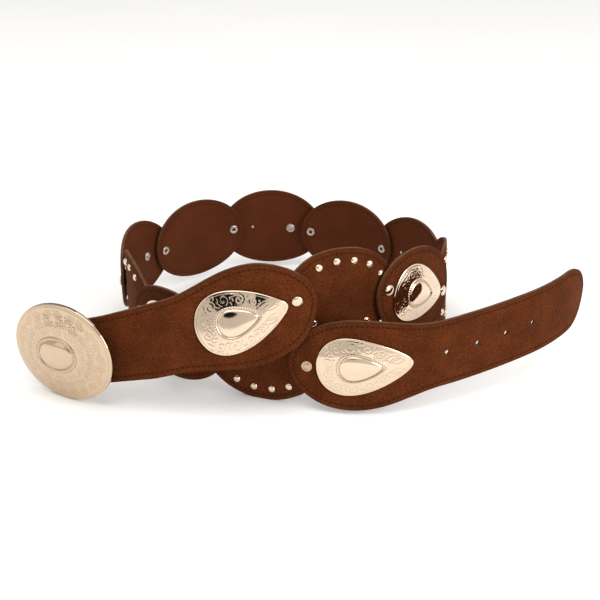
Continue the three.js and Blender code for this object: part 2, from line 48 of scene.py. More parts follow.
# Buckle
PLATE_LENGTH = 92.4
PLATE_HEIGHT = 77.0
PLATE_SHELL = 1.6
PLATE_DOME = 5.2
PLATE_RIM_LIP = 2.4
BOSS_LENGTH = 33.0
BOSS_HEIGHT = 22.6
BOSS_RISE = 2.6
BOSS_SLIDE = -2.5
ROPE_RING_GAP = 0.8
ROPE_RING_WIDTH = 2.4
ROPE_RING_RISE = 0.9
ROPE_STRANDS = 52
PLATE_SCROLL_DEPTH = 0.15
PLATE_SCROLL_WIDTH = 0.32
PLATE_LINE_DEPTH = 0.14
PLATE_RIM_ROUND = 0.45
PLATE_STAND_OFF = 9.4
BAR_TO_PLATE_CENTRE = 12.6
PLATE_SLIDE = 3.3
BAR_RADIUS = 1.75
ARM_CLEARANCE = 3.8
HOOK_RADIUS = 1.8
HOOK_LENGTH = 7.0
HOOK_FROM_PLATE_END = 13.0
FLAP_LENGTH = 36.0
FLAP_EASE = 16.0
FLAP_END_ROUND = 12.0
FLAP_INSET = 2.5
REST_SWING = 18.3

# Ornaments and fastenings
LOBE_TEAR = (67.0, 44.0)
OVAL_TEAR = (61.0, 44.0)
LOBE_TEAR_TO_RIVET = 40.0
TEAR_EDGE_RISE = 0.6
TEAR_SHELL_RISE = 2.7
TEAR_CUSHION_RISE = 0.9
TEAR_CUSHION_SHARE = 0.41
TEAR_GROOVE_SHARE = 0.428
TEAR_GROOVE_WIDTH = 0.014
TEAR_GROOVE_DEPTH = 0.5
TEAR_SCROLL_DEPTH = 0.13
TEAR_SCROLL_WIDTH = 0.3
TEAR_LINE_DEPTH = 0.1
TEAR_BEAD_RISE = 0.4
TEAR_BEAD_PITCH = 1.75
TEAR_SEAT = 0.7
TEAR_CENTRE_SHIFT = -0.08
TEAR_PULL = 0.43
STRAP_TEAR_TURN = math.radians(-1.6)
POST_RADIUS = 1.3
POST_SPACING = 34.0
POST_END = 0.5
BACK_DISC_RADIUS = 4.0
BACK_DISC_THICKNESS = 1.0
BACK_DISC_SEAT = 0.5
NAILHEAD_RADIUS = 2.85
NAILHEAD_RISE = 1.5
NAILHEAD_INSET = 9.2
NAILHEAD_PLACES = (-0.697, -0.451, -0.155, 0.155, 0.451, 0.697)
NAIL_TIP_RADIUS = 0.4
RIVET_CAP_RADIUS = 4.15
RIVET_CAP_RISE = 1.8
RIVET_SHANK_RADIUS = 2.1
RIVET_RING_RADIUS = 4.0
RIVET_RING_THICKNESS = 0.8
RIVET_EYE_RADIUS = 1.5
RIVET_EYE_DEPTH = 1.6
PUNCH_RADIUS = 1.9
PUNCH_COUNT = 5
PUNCH_FROM_RIVET = 98.8
PUNCH_PITCH = 25.1

# Stitching
STITCH_INSET = 3.75
STITCH_PITCH = 3.6
STITCH_LENGTH = 2.3
STITCH_SLANT = 0.42
SLIT_ANGLE = math.radians(48)
THREAD_RADIUS = 0.3
GROOVE_DEPTH = 0.16
GROOVE_WIDTH = 0.6
PIT_LENGTH = 0.85
PIT_WIDTH = 0.4
EDGE_ROUND = 0.5
EDGE_PAINT_REACH = 0.16

# How the belt lies
COURSE_DEPTH = 0.7
FIRST_RIVET = (-3.3, -76.4, 83.6)
FIRST_HEADING = 12.2
BELT_SHIFT = (-5.587, -37.5278, 0.0)

# One row for each link: whether it is studded, its bend, its slope along the belt and its lean
LINKS = (
    (True, 26.2, -5.7, 6.0),
    (False, 20.1, -19.6, 4.0),
    (True, 50.9, -12.0, 2.0),
    (False, 28.5, -2.9, 0.0),
    (True, 30.9, 3.0, 0.0),
    (False, 32.8, 3.8, 0.0),
    (True, 28.0, -2.8, 0.0),
    (False, 44.6, 1.1, 0.0),
    (True, 31.0, 5.0, 0.0),
    (False, 34.7, -10.2, 0.0),
    (True, 1.7, 1.3, 0.8),
)

# The straps' bends as share of their reach and turn, and their slope along the belt
BUCKLE_BENDS = ((0.375, 8.2), (0.3125, 13.0), (0.3125, 3.5))
TAIL_BENDS = ((0.244, 27.6), (0.203, 15.8), (0.244, 6.9), (0.309, 30.4))
BUCKLE_CLIMB = 15.9
TAIL_CLIMB = 4.7

# The straps' leans as share of their reach, lean, crown above the middle and skirt below it
BUCKLE_LEANS = (
    (0.0, -5.0, 14.0, 25.0),
    (0.06, -5.0, 15.0, 21.0),
    (0.18, 15.0, 17.0, 17.0),
    (0.62, 17.0, 17.0, 17.0),
    (0.86, 2.5, 2.5, 2.5),
    (1.0, 2.5, 2.5, 2.5),
)
TAIL_LEANS = (
    (-0.045, 1.0, 1.0, 1.0),
    (-0.018, 2.5, 13.0, 2.5),
    (0.04, 4.4, 13.0, 4.4),
    (0.16, 4.2, 4.2, 4.2),
    (1.0, 1.8, 1.8, 1.8),
)

# Sizes that follow from the ones above
PITCH = OVAL_LENGTH - 2 * RIVET_INSET
INNER_TOP = LEATHER
OUTER_BOTTOM = LEATHER + NAILHEAD_RISE + GAP
OUTER_TOP = OUTER_BOTTOM + LEATHER
TEAR_BASE = OUTER_TOP + TEAR_SEAT
FOLD_RADIUS = BAR_RADIUS + GAP + LEATHER / 2
OUTER_MIDDLE = OUTER_BOTTOM + LEATHER / 2
INNER_MIDDLE = OUTER_MIDDLE - LEATHER - GAP
BAR_DEPTH = OUTER_MIDDLE - FOLD_RADIUS
LOBE_OVERHANG = LOBE_END_TO_WIDEST - LOBE_WIDEST_TO_RIVET

# The dark opening in the studio's walls: its direction from the belt and the cosine at its edge
OPENING_DIRECTION = (-0.157, -0.892, 0.423)
OPENING_EDGE = 0.986

# How bright the walls are at the left, as a share of the right
LEFT_WALL = 0.72

# The camera, fitted to the photograph
CAMERA_TARGET = (0.0, 0.0, 45.0)
CAMERA_DISTANCE = 873.45
CAMERA_ELEVATION = 25.334
CAMERA_FOCAL_PIXELS = 1115.6
FRAME_PIXELS = 600
SENSOR_WIDTH = 36.0

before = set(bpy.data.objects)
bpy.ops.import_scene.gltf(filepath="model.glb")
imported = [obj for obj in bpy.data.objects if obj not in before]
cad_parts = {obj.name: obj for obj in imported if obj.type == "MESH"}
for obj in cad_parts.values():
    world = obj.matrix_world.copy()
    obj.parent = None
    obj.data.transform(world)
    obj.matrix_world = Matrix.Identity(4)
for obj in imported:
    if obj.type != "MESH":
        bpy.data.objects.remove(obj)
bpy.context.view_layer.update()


# The course of the belt

def advance(start, distance, curvature, slope):
    """The place s, x, y, z, heading that an arc reaches after a distance from start."""
    s, x, y, z, heading = start
    end = heading + curvature * distance
    return np.array([
        s + distance,
        x + (np.sin(end) - np.sin(heading)) / curvature,
        y + (np.cos(heading) - np.cos(end)) / curvature,
        z + slope * distance,
        end,
    ])


def make_course():
    """The arcs in plan, each as its start, curvature and slope, and the places of the joints."""
    start = np.array([0.0, *FIRST_RIVET, math.radians(FIRST_HEADING)])
    arcs = []
    cursor = start
    slope = math.tan(math.radians(BUCKLE_CLIMB))
    for share, turn in BUCKLE_BENDS:
        length = share * BUCKLE_REACH * math.cos(math.radians(BUCKLE_CLIMB))
        curvature = math.radians(turn) / length
        cursor = advance(cursor, -length, curvature, slope)
        arcs.insert(0, [*cursor, curvature, slope])
    cursor = start
    joints = []
    for _, turn, climb, _ in LINKS:
        joints.append(cursor)
        length = PITCH * math.cos(math.radians(climb))
        curvature = math.radians(turn) / length
        slope = math.tan(math.radians(climb))
        arcs.append([*cursor, curvature, slope])
        cursor = advance(cursor, length, curvature, slope)
    joints.append(cursor)
    slope = math.tan(math.radians(TAIL_CLIMB))
    for share, turn in TAIL_BENDS:
        length = share * TAIL_REACH * math.cos(math.radians(TAIL_CLIMB))
        curvature = math.radians(turn) / length
        arcs.append([*cursor, curvature, slope])
        cursor = advance(cursor, length, curvature, slope)
    return np.array(arcs), joints


ARCS, JOINTS = make_course()


def make_lean_stations():
    rows = [(-share * BUCKLE_REACH, *leans) for share, *leans in reversed(BUCKLE_LEANS)]
    rows.append((LOBE_OVERHANG, *rows[-1][1:]))
    for i, (_, _, _, lean) in enumerate(LINKS):
        middle = (JOINTS[i][0] + JOINTS[i + 1][0]) / 2
        rows.append((middle, lean, lean, lean))
    for share, *leans in TAIL_LEANS:
        rows.append((JOINTS[-1][0] + share * TAIL_REACH, *leans))
    return np.array(rows)


LEAN_STATIONS = make_lean_stations()


def soft_ramp(distance):
    """0 before the crease and the distance after it, with a soft turn between."""
    soft = (distance + CREASE_SOFTNESS) ** 2 / (4 * CREASE_SOFTNESS)
    return np.where(np.abs(distance) < CREASE_SOFTNESS, soft, np.maximum(0.0, distance))


def belt_points(s, z, off):
    """Points at the distances s along the belt, the heights z and the depths off, in millimetres."""
    s, z, off = np.broadcast_arrays(*(np.asarray(value, float) for value in (s, z, off)))
    index = np.clip(np.searchsorted(ARCS[:, 0], s, side="right") - 1, 0, len(ARCS) - 1)
    arc = ARCS[index]
    start = [arc[..., column] for column in range(5)]
    at = advance(start, s - arc[..., 0], arc[..., 5], arc[..., 6])
    lean, crown, skirt = (
        np.tan(np.radians(np.interp(s, LEAN_STATIONS[:, 0], LEAN_STATIONS[:, column])))
        for column in (1, 2, 3)
    )
    on_outer_layer = off > (INNER_TOP + OUTER_BOTTOM) / 2
    below = np.where(on_outer_layer, soft_ramp(at[3] - LOBE_FLAT - z), 0.0)
    above = soft_ramp(z - at[3] - LOBE_FLAT)
    level = off - COURSE_DEPTH + (at[3] - z) * lean
    out = level + below * (skirt - lean) - above * (crown - lean)
    x = at[1] + out * np.sin(at[4])
    y = at[2] - out * np.cos(at[4])
    return np.stack([x, y, z], -1) + np.array(BELT_SHIFT)


def make_ribbon(joint, climb):
    return joint[0], joint[3], math.radians(climb)


def ribbon_points(ribbon, u, v, off):
    """Points of a flat pattern laid on the belt from a rivet: u along it, v across it, off outward."""
    s, z, climb = ribbon
    along = s + u * math.cos(climb) - v * math.sin(climb)
    height = z + u * math.sin(climb) + v * math.cos(climb)
    return belt_points(along, np.maximum(0.0, height), off)


def ribbon_frame(ribbon, u, v, off):
    """A matrix with X along the ribbon, Y across it and Z outward, in millimetres."""
    origin = Vector(ribbon_points(ribbon, u, v, off))
    along = Vector(ribbon_points(ribbon, u + 1, v, off) - ribbon_points(ribbon, u - 1, v, off))
    across = Vector(ribbon_points(ribbon, u, v + 1, off) - ribbon_points(ribbon, u, v - 1, off))
    across.normalize()
    outward = along.cross(across).normalized()
    square = across.cross(outward).normalized()
    matrix = Matrix((square, across, outward)).transposed().to_4x4()
    matrix.translation = origin
    return matrix


LINK_RIBBONS = [make_ribbon(JOINTS[i], link[2]) for i, link in enumerate(LINKS)]
BUCKLE_RIBBON = make_ribbon(JOINTS[0], BUCKLE_CLIMB)
TAIL_RIBBON = make_ribbon(JOINTS[-1], TAIL_CLIMB)


def joint_frame(number):
    """The frame of a joint's rivet, square to the inner link there."""
    inner = LINK_RIBBONS[2 * (number // 2)]
    return ribbon_frame(inner, (number % 2) * PITCH, 0.0, 0.0)


# Materials

def srgb(red, green, blue):
    """A colour as the picture shows it, from 0 to 255, as Blender's linear values."""
    values = []
    for value in (red / 255, green / 255, blue / 255):
        values.append(value / 12.92 if value <= 0.04045 else ((value + 0.055) / 1.055) ** 2.4)
    return (*values, 1.0)


def new_material(name):
    material = bpy.data.materials.new(name)
    material.use_nodes = True
    nodes = material.node_tree.nodes
    return material, nodes, material.node_tree.links, nodes["Principled BSDF"]


def set_values(node, values):
    """Sets a node's own sockets by name."""
    for name, value in values.items():
        node.inputs[name].default_value = value


def add_noise(nodes, links, scale, detail, roughness=0.5):
    """A noise in the object's own space, so that it stays on the piece."""
    place = nodes.new("ShaderNodeTexCoord")
    noise = nodes.new("ShaderNodeTexNoise")
    set_values(noise, {"Scale": scale, "Detail": detail, "Roughness": roughness})
    links.new(place.outputs["Object"], noise.inputs["Vector"])
    return noise.outputs["Fac"]


def add_ramp(nodes, links, source, stops):
    ramp = nodes.new("ShaderNodeValToRGB")
    elements = ramp.color_ramp.elements
    for element, (position, colour) in zip(elements, (stops[0], stops[-1])):
        element.position = position
        element.color = colour
    for position, colour in stops[1:-1]:
        elements.new(position).color = colour
    links.new(source, ramp.inputs["Fac"])
    return ramp.outputs["Color"]


def add_mix(nodes, links, factor, first, second, mode="MIX"):
    mix = nodes.new("ShaderNodeMix")
    mix.data_type = "RGBA"
    mix.blend_type = mode
    sockets = {socket.identifier: socket for socket in mix.inputs}
    for key, value in (("Factor_Float", factor), ("A_Color", first), ("B_Color", second)):
        if isinstance(value, (tuple, float)):
            sockets[key].default_value = value
        else:
            links.new(value, sockets[key])
    return next(output for output in mix.outputs if output.identifier == "Result_Color")


def add_attribute(nodes, name):
    attribute = nodes.new("ShaderNodeAttribute")
    attribute.attribute_name = name
    return attribute.outputs["Fac"]


def add_bump(nodes, links, shader, height, strength, distance):
    bump = nodes.new("ShaderNodeBump")
    set_values(bump, {"Strength": strength, "Distance": distance})
    links.new(height, bump.inputs["Height"])
    links.new(bump.outputs["Normal"], shader.inputs["Normal"])


def make_suede():
    """Brushed suede: short fibres, soft patches of nap, painted shade along the stitch groove, paler at the
    edge.
    """
    material, nodes, links, shader = new_material("suede")
    patches = add_noise(nodes, links, 55.0, 3.0)
    fibres = add_noise(nodes, links, 900.0, 5.0, 0.7)
    nap = add_ramp(nodes, links, patches, (
        (0.3, srgb(91, 44, 17)),
        (0.5, srgb(101, 50, 20)),
        (0.7, srgb(111, 56, 24)),
    ))
    grain = add_ramp(nodes, links, fibres, ((0.32, srgb(150, 132, 118)), (0.68, srgb(255, 255, 255))))
    base = add_mix(nodes, links, 1.0, nap, grain, "MULTIPLY")
    # Painted shade: the suede is mixed darker along the stitch groove.
    pressed = add_mix(nodes, links, add_attribute(nodes, "stitch_groove_shade"), base, srgb(62, 29, 12))
    worn = add_mix(nodes, links, add_attribute(nodes, "edge"), pressed, srgb(64, 34, 20))
    links.new(worn, shader.inputs["Base Color"])
    set_values(shader, {"Roughness": 0.95, "Specular IOR Level": 0.08})
    set_values(shader, {"Sheen Weight": 0.06, "Sheen Roughness": 0.5, "Sheen Tint": srgb(214, 160, 120)})
    add_bump(nodes, links, shader, fibres, 0.5, 0.0004)
    return material


def make_lining():
    """Smooth coated lining with a fine pressed grain."""
    material, nodes, links, shader = new_material("lining")
    patches = add_noise(nodes, links, 40.0, 3.0)
    base = add_ramp(nodes, links, patches, ((0.3, srgb(78, 36, 16)), (0.7, srgb(86, 42, 20))))
    worn = add_mix(nodes, links, add_attribute(nodes, "edge"), base, srgb(62, 33, 20))
    links.new(worn, shader.inputs["Base Color"])
    set_values(shader, {"Roughness": 0.6, "Specular IOR Level": 0.06})
    grain = nodes.new("ShaderNodeTexVoronoi")
    grain.inputs["Scale"].default_value = 1500.0
    place = nodes.new("ShaderNodeTexCoord")
    links.new(place.outputs["Object"], grain.inputs["Vector"])
    add_bump(nodes, links, shader, grain.outputs["Distance"], 0.25, 0.0002)
    return material


def make_edge_paint():
    """The cut edge: paint over two layers of leather."""
    material, nodes, links, shader = new_material("edge_paint")
    rubbed = add_noise(nodes, links, 220.0, 4.0)
    base = add_ramp(nodes, links, rubbed, ((0.3, srgb(80, 50, 32)), (0.7, srgb(104, 70, 46))))
    links.new(base, shader.inputs["Base Color"])
    set_values(shader, {"Roughness": 0.7, "Specular IOR Level": 0.15})
    add_bump(nodes, links, shader, rubbed, 0.3, 0.0003)
    return material


def make_plain(name, colour, roughness, metallic=0.0, gloss=0.5):
    """A small fitting or thread with a slight unevenness."""
    material, nodes, links, shader = new_material(name)
    uneven = add_noise(nodes, links, 900.0, 2.0)
    low = tuple(0.8 * value for value in colour[:3]) + (1.0,)
    links.new(add_ramp(nodes, links, uneven, ((0.3, low), (0.7, colour))), shader.inputs["Base Color"])
    set_values(shader, {"Roughness": roughness, "Metallic": metallic, "Specular IOR Level": gloss})
    add_bump(nodes, links, shader, uneven, 0.15, 0.0001)
    return material


def make_gold(name, roughness, bright, dark):
    """Pale gold plate, with a darker tone down in the engraving."""
    material, nodes, links, shader = new_material(name)
    cloudy = add_noise(nodes, links, 130.0, 3.0)
    fine = add_noise(nodes, links, 700.0, 3.0)
    muted = tuple(0.94 * value for value in bright[:3]) + (1.0,)
    tone = add_ramp(nodes, links, cloudy, ((0.3, muted), (0.7, bright)))
    engraved = add_mix(nodes, links, add_attribute(nodes, "engraving"), tone, dark)
    links.new(engraved, shader.inputs["Base Color"])
    set_values(shader, {"Metallic": 1.0, "Roughness": roughness})
    add_bump(nodes, links, shader, fine, 0.08, 0.0003)
    return material


SUEDE = make_suede()
LINING = make_lining()
EDGE_PAINT = make_edge_paint()
THREAD = make_plain("thread", srgb(88, 40, 15), 0.85, gloss=0.08)
# Needle holes are flat dark patches: painted shadow in the holes.
NEEDLE_HOLE_SHADOW = make_plain("needle_hole_shadow", srgb(22, 9, 4), 0.95, gloss=0.02)
GOLD = make_gold("gold", 0.06, srgb(232, 209, 184), srgb(172, 144, 116))
# The plate's gold is rougher than the conchos', and its darker colour is painted shade for the darker
# surroundings the flat plate mirrors.
SHADED_PLATE_GOLD = make_gold("plate_gold_painted_shade", 0.13, srgb(212, 187, 160), srgb(140, 112, 84))
DULL_GOLD = make_gold("dull_gold", 0.34, srgb(196, 172, 142), srgb(110, 86, 60))
# Dark metal for the nail tips and the plate's back, and painted shade on the upper arc of the plate's rim
# wall.
DARK_METAL_AND_PAINTED_SHADE = make_gold("dark_metal_and_painted_shade", 0.35, srgb(104, 92, 76), srgb(60, 52, 44))
STEEL = make_plain("dull_silver", srgb(196, 184, 172), 0.3, 1.0)
# The dark disc down in each rivet's eyelet: painted shadow.
RIVET_EYE_SHADOW = make_plain("rivet_eye_shadow", srgb(38, 26, 22), 0.6)


# Meshes

def add_piece(name, points, faces, materials, body, face_materials=None, attributes=None):
    """A smooth mesh piece from points in millimetres, which rides on a body."""
    mesh = bpy.data.meshes.new(name)
    mesh.from_pydata((np.asarray(points) * MM).tolist(), [], [tuple(map(int, face)) for face in faces])
    for material in materials:
        mesh.materials.append(material)
    if face_materials is not None:
        mesh.polygons.foreach_set("material_index", np.asarray(face_materials, np.int32))
    for key, values in (attributes or {}).items():
        layer = mesh.attributes.new(key, "FLOAT", "POINT")
        layer.data.foreach_set("value", np.asarray(values, np.float32))
    mesh.validate()
    mesh.polygons.foreach_set("use_smooth", np.ones(len(mesh.polygons), bool))
    mesh.update()
    piece = bpy.data.objects.new(name, mesh)
    bpy.context.scene.collection.objects.link(piece)
    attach(piece, body)
    return piece


def weld(points, faces, extra=None):
    """Merges points that coincide and drops the faces that collapse. extra goes with the faces."""
    keys = np.round(points, 4)
    unique, first, inverse = np.unique(keys, axis=0, return_index=True, return_inverse=True)
    inverse = inverse.reshape(-1)
    kept = []
    kept_extra = []
    for number, face in enumerate(faces):
        corners = []
        for corner in inverse[list(face)]:
            if corner not in corners:
                corners.append(int(corner))
        if len(corners) > 2:
            kept.append(corners)
            kept_extra.append(0 if extra is None else extra[number])
    return points[first], kept, kept_extra, first


def face_outward(points, faces):
    """Turns all faces round if the closed mesh is inside out."""
    volume = 0.0
    for face in faces:
        a, b, c = points[face[0]], points[face[1]], points[face[2]]
        volume += np.dot(a, np.cross(b, c))
        if len(face) == 4:
            d = points[face[3]]
            volume += np.dot(a, np.cross(c, d))
    return faces if volume > 0 else [face[::-1] for face in faces]


def grid_faces(rows, columns, closed):
    """Quads over rows of points; closed joins each row's last point to its first."""
    faces = []
    last = columns if closed else columns - 1
    for row in range(rows - 1):
        for column in range(last):
            after = (column + 1) % columns
            low = row * columns
            high = low + columns
            faces.append((low + column, low + after, high + after, high + column))
    return faces


class Gatherer:
    """Gathers many small meshes, such as stitches, into one piece."""

    def __init__(self):
        self.points = []
        self.faces = []
        self.face_materials = []
        self.count = 0

    def add(self, points, faces, material=0):
        self.points.append(points)
        self.faces.extend([tuple(index + self.count for index in face) for face in faces])
        self.face_materials.extend([material] * len(faces))
        self.count += len(points)

    def turn(self, profile, sides, matrix, material=0):
        self.add(*turned_mesh(profile, sides, matrix), material)

    def make(self, name, materials, body):
        points = np.concatenate(self.points)
        return add_piece(name, points, self.faces, materials, body, self.face_materials)


def turned_mesh(profile, sides, matrix):
    """A lathe mesh from rows of radius and height, placed by a matrix."""
    angles = np.linspace(0, 2 * math.pi, sides, endpoint=False)
    profile = np.asarray(profile, float)
    x = profile[:, 0, None] * np.cos(angles)
    y = profile[:, 0, None] * np.sin(angles)
    z = np.repeat(profile[:, 1, None], sides, 1)
    local = np.stack([x, y, z], -1).reshape(-1, 3)
    placed = local @ np.array(matrix.to_3x3()).T + np.array(matrix.translation)
    return placed, grid_faces(len(profile), sides, True)


def arc_profile(start, end, bulge, steps):
    """Rows of radius and height along a quarter ellipse from start to end."""
    rows = []
    for i in range(steps + 1):
        angle = (math.pi / 2) * i / steps
        swift = math.sin(angle)
        slow = 1 - math.cos(angle)
        across, along = (swift, slow) if bulge else (slow, swift)
        rows.append((start[0] + (end[0] - start[0]) * along, start[1] + (end[1] - start[1]) * across))
    return rows


# Leather pieces

FACE_INSETS = (0.0, 0.05, 0.16, 0.32, 0.55, 1.3, 2.6, 3.2, STITCH_INSET, 4.3, 5.2)
FACE_COLUMNS = 16


def bell(values, centre, width):
    """1 at the centre, and falling softly to 0 on both sides of it."""
    return np.exp(-(((values - centre) / width) ** 2))


def face_height(inset):
    """The height of a leather face over the middle of its thickness, at an inset from the edge."""
    inset = np.asarray(inset, float)
    rounded = np.sqrt(np.maximum(0.0, EDGE_ROUND ** 2 - np.maximum(0.0, EDGE_ROUND - inset) ** 2))
    groove = GROOVE_DEPTH * bell(inset, STITCH_INSET, GROOVE_WIDTH)
    return LEATHER / 2 - EDGE_ROUND + rounded - groove


def outline_normals(outline):
    """The outward normals of the upper half of a pattern that is mirrored about its middle line."""
    mirrored_start = outline[1] * np.array([1, -1])
    mirrored_end = outline[-2] * np.array([1, -1])
    extended = np.vstack([mirrored_start, outline, mirrored_end])
    tangent = extended[2:] - extended[:-2]
    normal = np.stack([-tangent[:, 1], tangent[:, 0]], -1)
    return normal / np.linalg.norm(normal, axis=1)[:, None]


def leather_points(ribbon, side, place, t, v, height):
    u, off = place(np.asarray(t, float), np.asarray(height, float))
    return ribbon_points(ribbon, side * u, v, off)


def leather_piece(name, outline, ribbon, side, place):
    """A leather sheet with rounded painted edges and a pressed stitch line on both faces."""
    normals = outline_normals(outline)
    insets = np.array(FACE_INSETS)
    heights = face_height(insets)
    columns = []
    for facing in (1, -1):
        upper = [(1, inset, facing * height) for inset, height in zip(insets, heights)]
        inner = [
            (1 - 2 * k / (FACE_COLUMNS + 1), insets[-1], facing * heights[-1])
            for k in range(1, FACE_COLUMNS + 1)
        ]
        lower = [(-1, inset, facing * height) for inset, height in zip(insets[::-1], heights[::-1])]
        face = upper + inner + lower
        columns.extend(face if facing > 0 else face[::-1])
    count = len(columns)
    t = np.empty((len(outline), count))
    v = np.empty_like(t)
    h = np.empty_like(t)
    for column, (mirror, inset, height) in enumerate(columns):
        t[:, column] = outline[:, 0] - normals[:, 0] * inset
        v[:, column] = mirror * (outline[:, 1] - normals[:, 1] * inset)
        h[:, column] = height
    points = leather_points(ribbon, side, place, t, v, h).reshape(-1, 3)
    inset_row = np.array([column[1] for column in columns])
    edge_row = np.clip(1 - (inset_row - EDGE_PAINT_REACH) / 1.3, 0, 1) ** 2
    # How much painted shade the suede takes along the stitch groove.
    stitch_groove_shade_row = 0.75 * bell(inset_row, STITCH_INSET, 0.7)
    edge = np.tile(edge_row, len(outline))
    stitch_groove_shade = np.tile(stitch_groove_shade_row, len(outline))
    kinds = []
    half = count // 2
    for column in range(count):
        after = (column + 1) % count
        on_edge = max(inset_row[column], inset_row[after]) <= EDGE_PAINT_REACH
        kinds.append(2 if on_edge else (0 if column < half else 1))
    faces = grid_faces(len(outline), count, True)
    kinds = kinds * (len(outline) - 1)
    points, faces, kinds, first = weld(points, faces, kinds)
    faces = face_outward(points, faces)
    attributes = {"edge": edge[first], "stitch_groove_shade": stitch_groove_shade[first]}
    materials = (SUEDE, LINING, EDGE_PAINT)
    return add_piece(name, points, faces, materials, "belt", kinds, attributes)


def stitch_line(outline):
    """The closed line of the stitching, evenly spaced, as places and outward normals."""
    normals = outline_normals(outline)
    upper = outline - normals * STITCH_INSET
    lower = (upper * np.array([1, -1]))[::-1]
    loop = np.vstack([upper, lower[1:]])
    lengths = np.concatenate([[0], np.cumsum(np.linalg.norm(np.diff(loop, axis=0), axis=1))])
    return loop, lengths


def add_stitches(name, outline, ribbon, side, place):
    """Thread along both faces of a leather piece, with flat dark needle holes painted as shadow."""
    loop, lengths = stitch_line(outline)
    total = lengths[-1]
    count = round(total / STITCH_PITCH)
    pitch = total / count
    gatherer = Gatherer()
    along = np.linspace(-0.5, 0.5, 4)
    ring = np.linspace(0, 2 * math.pi, 5, endpoint=False)
    dip = np.array([0.42, 0.04, 0.04, 0.42])

    def at(distance):
        distance = np.mod(distance, total)
        return np.stack([np.interp(distance, lengths, loop[:, axis]) for axis in (0, 1)], -1)

    tube_faces = grid_faces(len(along), len(ring), True)
    pit_faces = [tuple(range(5))]
    for number in range(count):
        middle = (number + 0.5) * pitch
        centre = at(middle + along * STITCH_LENGTH)
        tangent = at(middle + along * STITCH_LENGTH + 0.2) - at(middle + along * STITCH_LENGTH - 0.2)
        tangent /= np.linalg.norm(tangent, axis=1)[:, None]
        normal = np.stack([-tangent[:, 1], tangent[:, 0]], -1)
        centre = centre + normal * along[:, None] * STITCH_LENGTH * STITCH_SLANT
        hole = at(np.array([number * pitch]))[0]
        slit = tangent[0] * math.cos(SLIT_ANGLE) + normal[0] * math.sin(SLIT_ANGLE)
        for facing in (1, -1):
            level = LEATHER / 2 - GROOVE_DEPTH + 0.12
            t = centre[:, 0, None] + normal[:, 0, None] * THREAD_RADIUS * np.cos(ring)
            v = centre[:, 1, None] + normal[:, 1, None] * THREAD_RADIUS * np.cos(ring)
            h = facing * (level - dip[:, None] + 0.8 * THREAD_RADIUS * np.sin(ring))
            points = leather_points(ribbon, side, place, t, v, h).reshape(-1, 3)
            gatherer.add(points, tube_faces, 0)
            # Each needle hole is a flat dark ellipse on the groove: painted shadow where the hole would be.
            t = hole[0] + slit[0] * PIT_LENGTH * np.cos(ring) - slit[1] * PIT_WIDTH * np.sin(ring)
            v = hole[1] + slit[1] * PIT_LENGTH * np.cos(ring) + slit[0] * PIT_WIDTH * np.sin(ring)
            h = np.full(5, facing * (LEATHER / 2 - GROOVE_DEPTH + 0.06))
            gatherer.add(leather_points(ribbon, side, place, t, v, h), pit_faces, 1)
    return gatherer.make(name, (THREAD, NEEDLE_HOLE_SHADOW), "belt")


def oval_outline():
    angles = np.linspace(0, math.pi, 65)
    t = PITCH / 2 - OVAL_LENGTH / 2 * np.cos(angles)
    w = OVAL_HEIGHT / 2 * np.sin(angles)
    return np.stack([t, w], -1)


def lobe_outline(end):
    """The upper half of a strap's lobe, neck and sides, as far as the distance end from its rivet."""
    half = LOBE_HEIGHT / 2
    rows = []
    for angle in np.linspace(0, math.pi / 2, 31):
        rows.append((
            LOBE_WIDEST_TO_RIVET - LOBE_END_TO_WIDEST * math.cos(angle),
            half * math.sin(angle),
        ))
    steps = int((end - LOBE_WIDEST_TO_RIVET) / 2.3)
    for t in np.linspace(LOBE_WIDEST_TO_RIVET, end, steps + 1)[1:]:
        share = min(1.0, (t - LOBE_WIDEST_TO_RIVET) / LOBE_NECK_LENGTH)
        rows.append((t, STRAP_WIDTH / 2 + (half - STRAP_WIDTH / 2) * (1 + math.cos(math.pi * share)) / 2))
    return rows


def tail_outline():
    start = TAIL_REACH - TIP_RADIUS
    half = STRAP_WIDTH / 2
    rows = lobe_outline(start)
    tip_end = math.acos((TIP_RADIUS - half) / TIP_RADIUS)
    for angle in np.linspace(0, tip_end, 21)[1:]:
        rows.append((start + TIP_RADIUS * math.sin(angle), half - TIP_RADIUS + TIP_RADIUS * math.cos(angle)))
    rows[-1] = (rows[-1][0], 0.0)
    return np.array(rows)


def buckle_outline():
    end = BUCKLE_REACH + math.pi * FOLD_RADIUS + FLAP_LENGTH
    start = end - FLAP_END_ROUND
    rows = []
    for t, width in lobe_outline(start):
        past_fold = max(0.0, t - BUCKLE_REACH - math.pi * FOLD_RADIUS)
        rows.append((t, width - FLAP_INSET * min(1.0, past_fold / FLAP_EASE)))
    half = STRAP_WIDTH / 2 - FLAP_INSET
    for angle in np.linspace(0, math.pi / 2, 15)[1:]:
        rows.append((start + FLAP_END_ROUND * math.sin(angle), half * math.cos(angle)))
    rows[-1] = (rows[-1][0], 0.0)
    return np.array(rows)


def inner_place(t, height):
    return t, LEATHER / 2 + height


def outer_place(t, height):
    return t, OUTER_MIDDLE + height


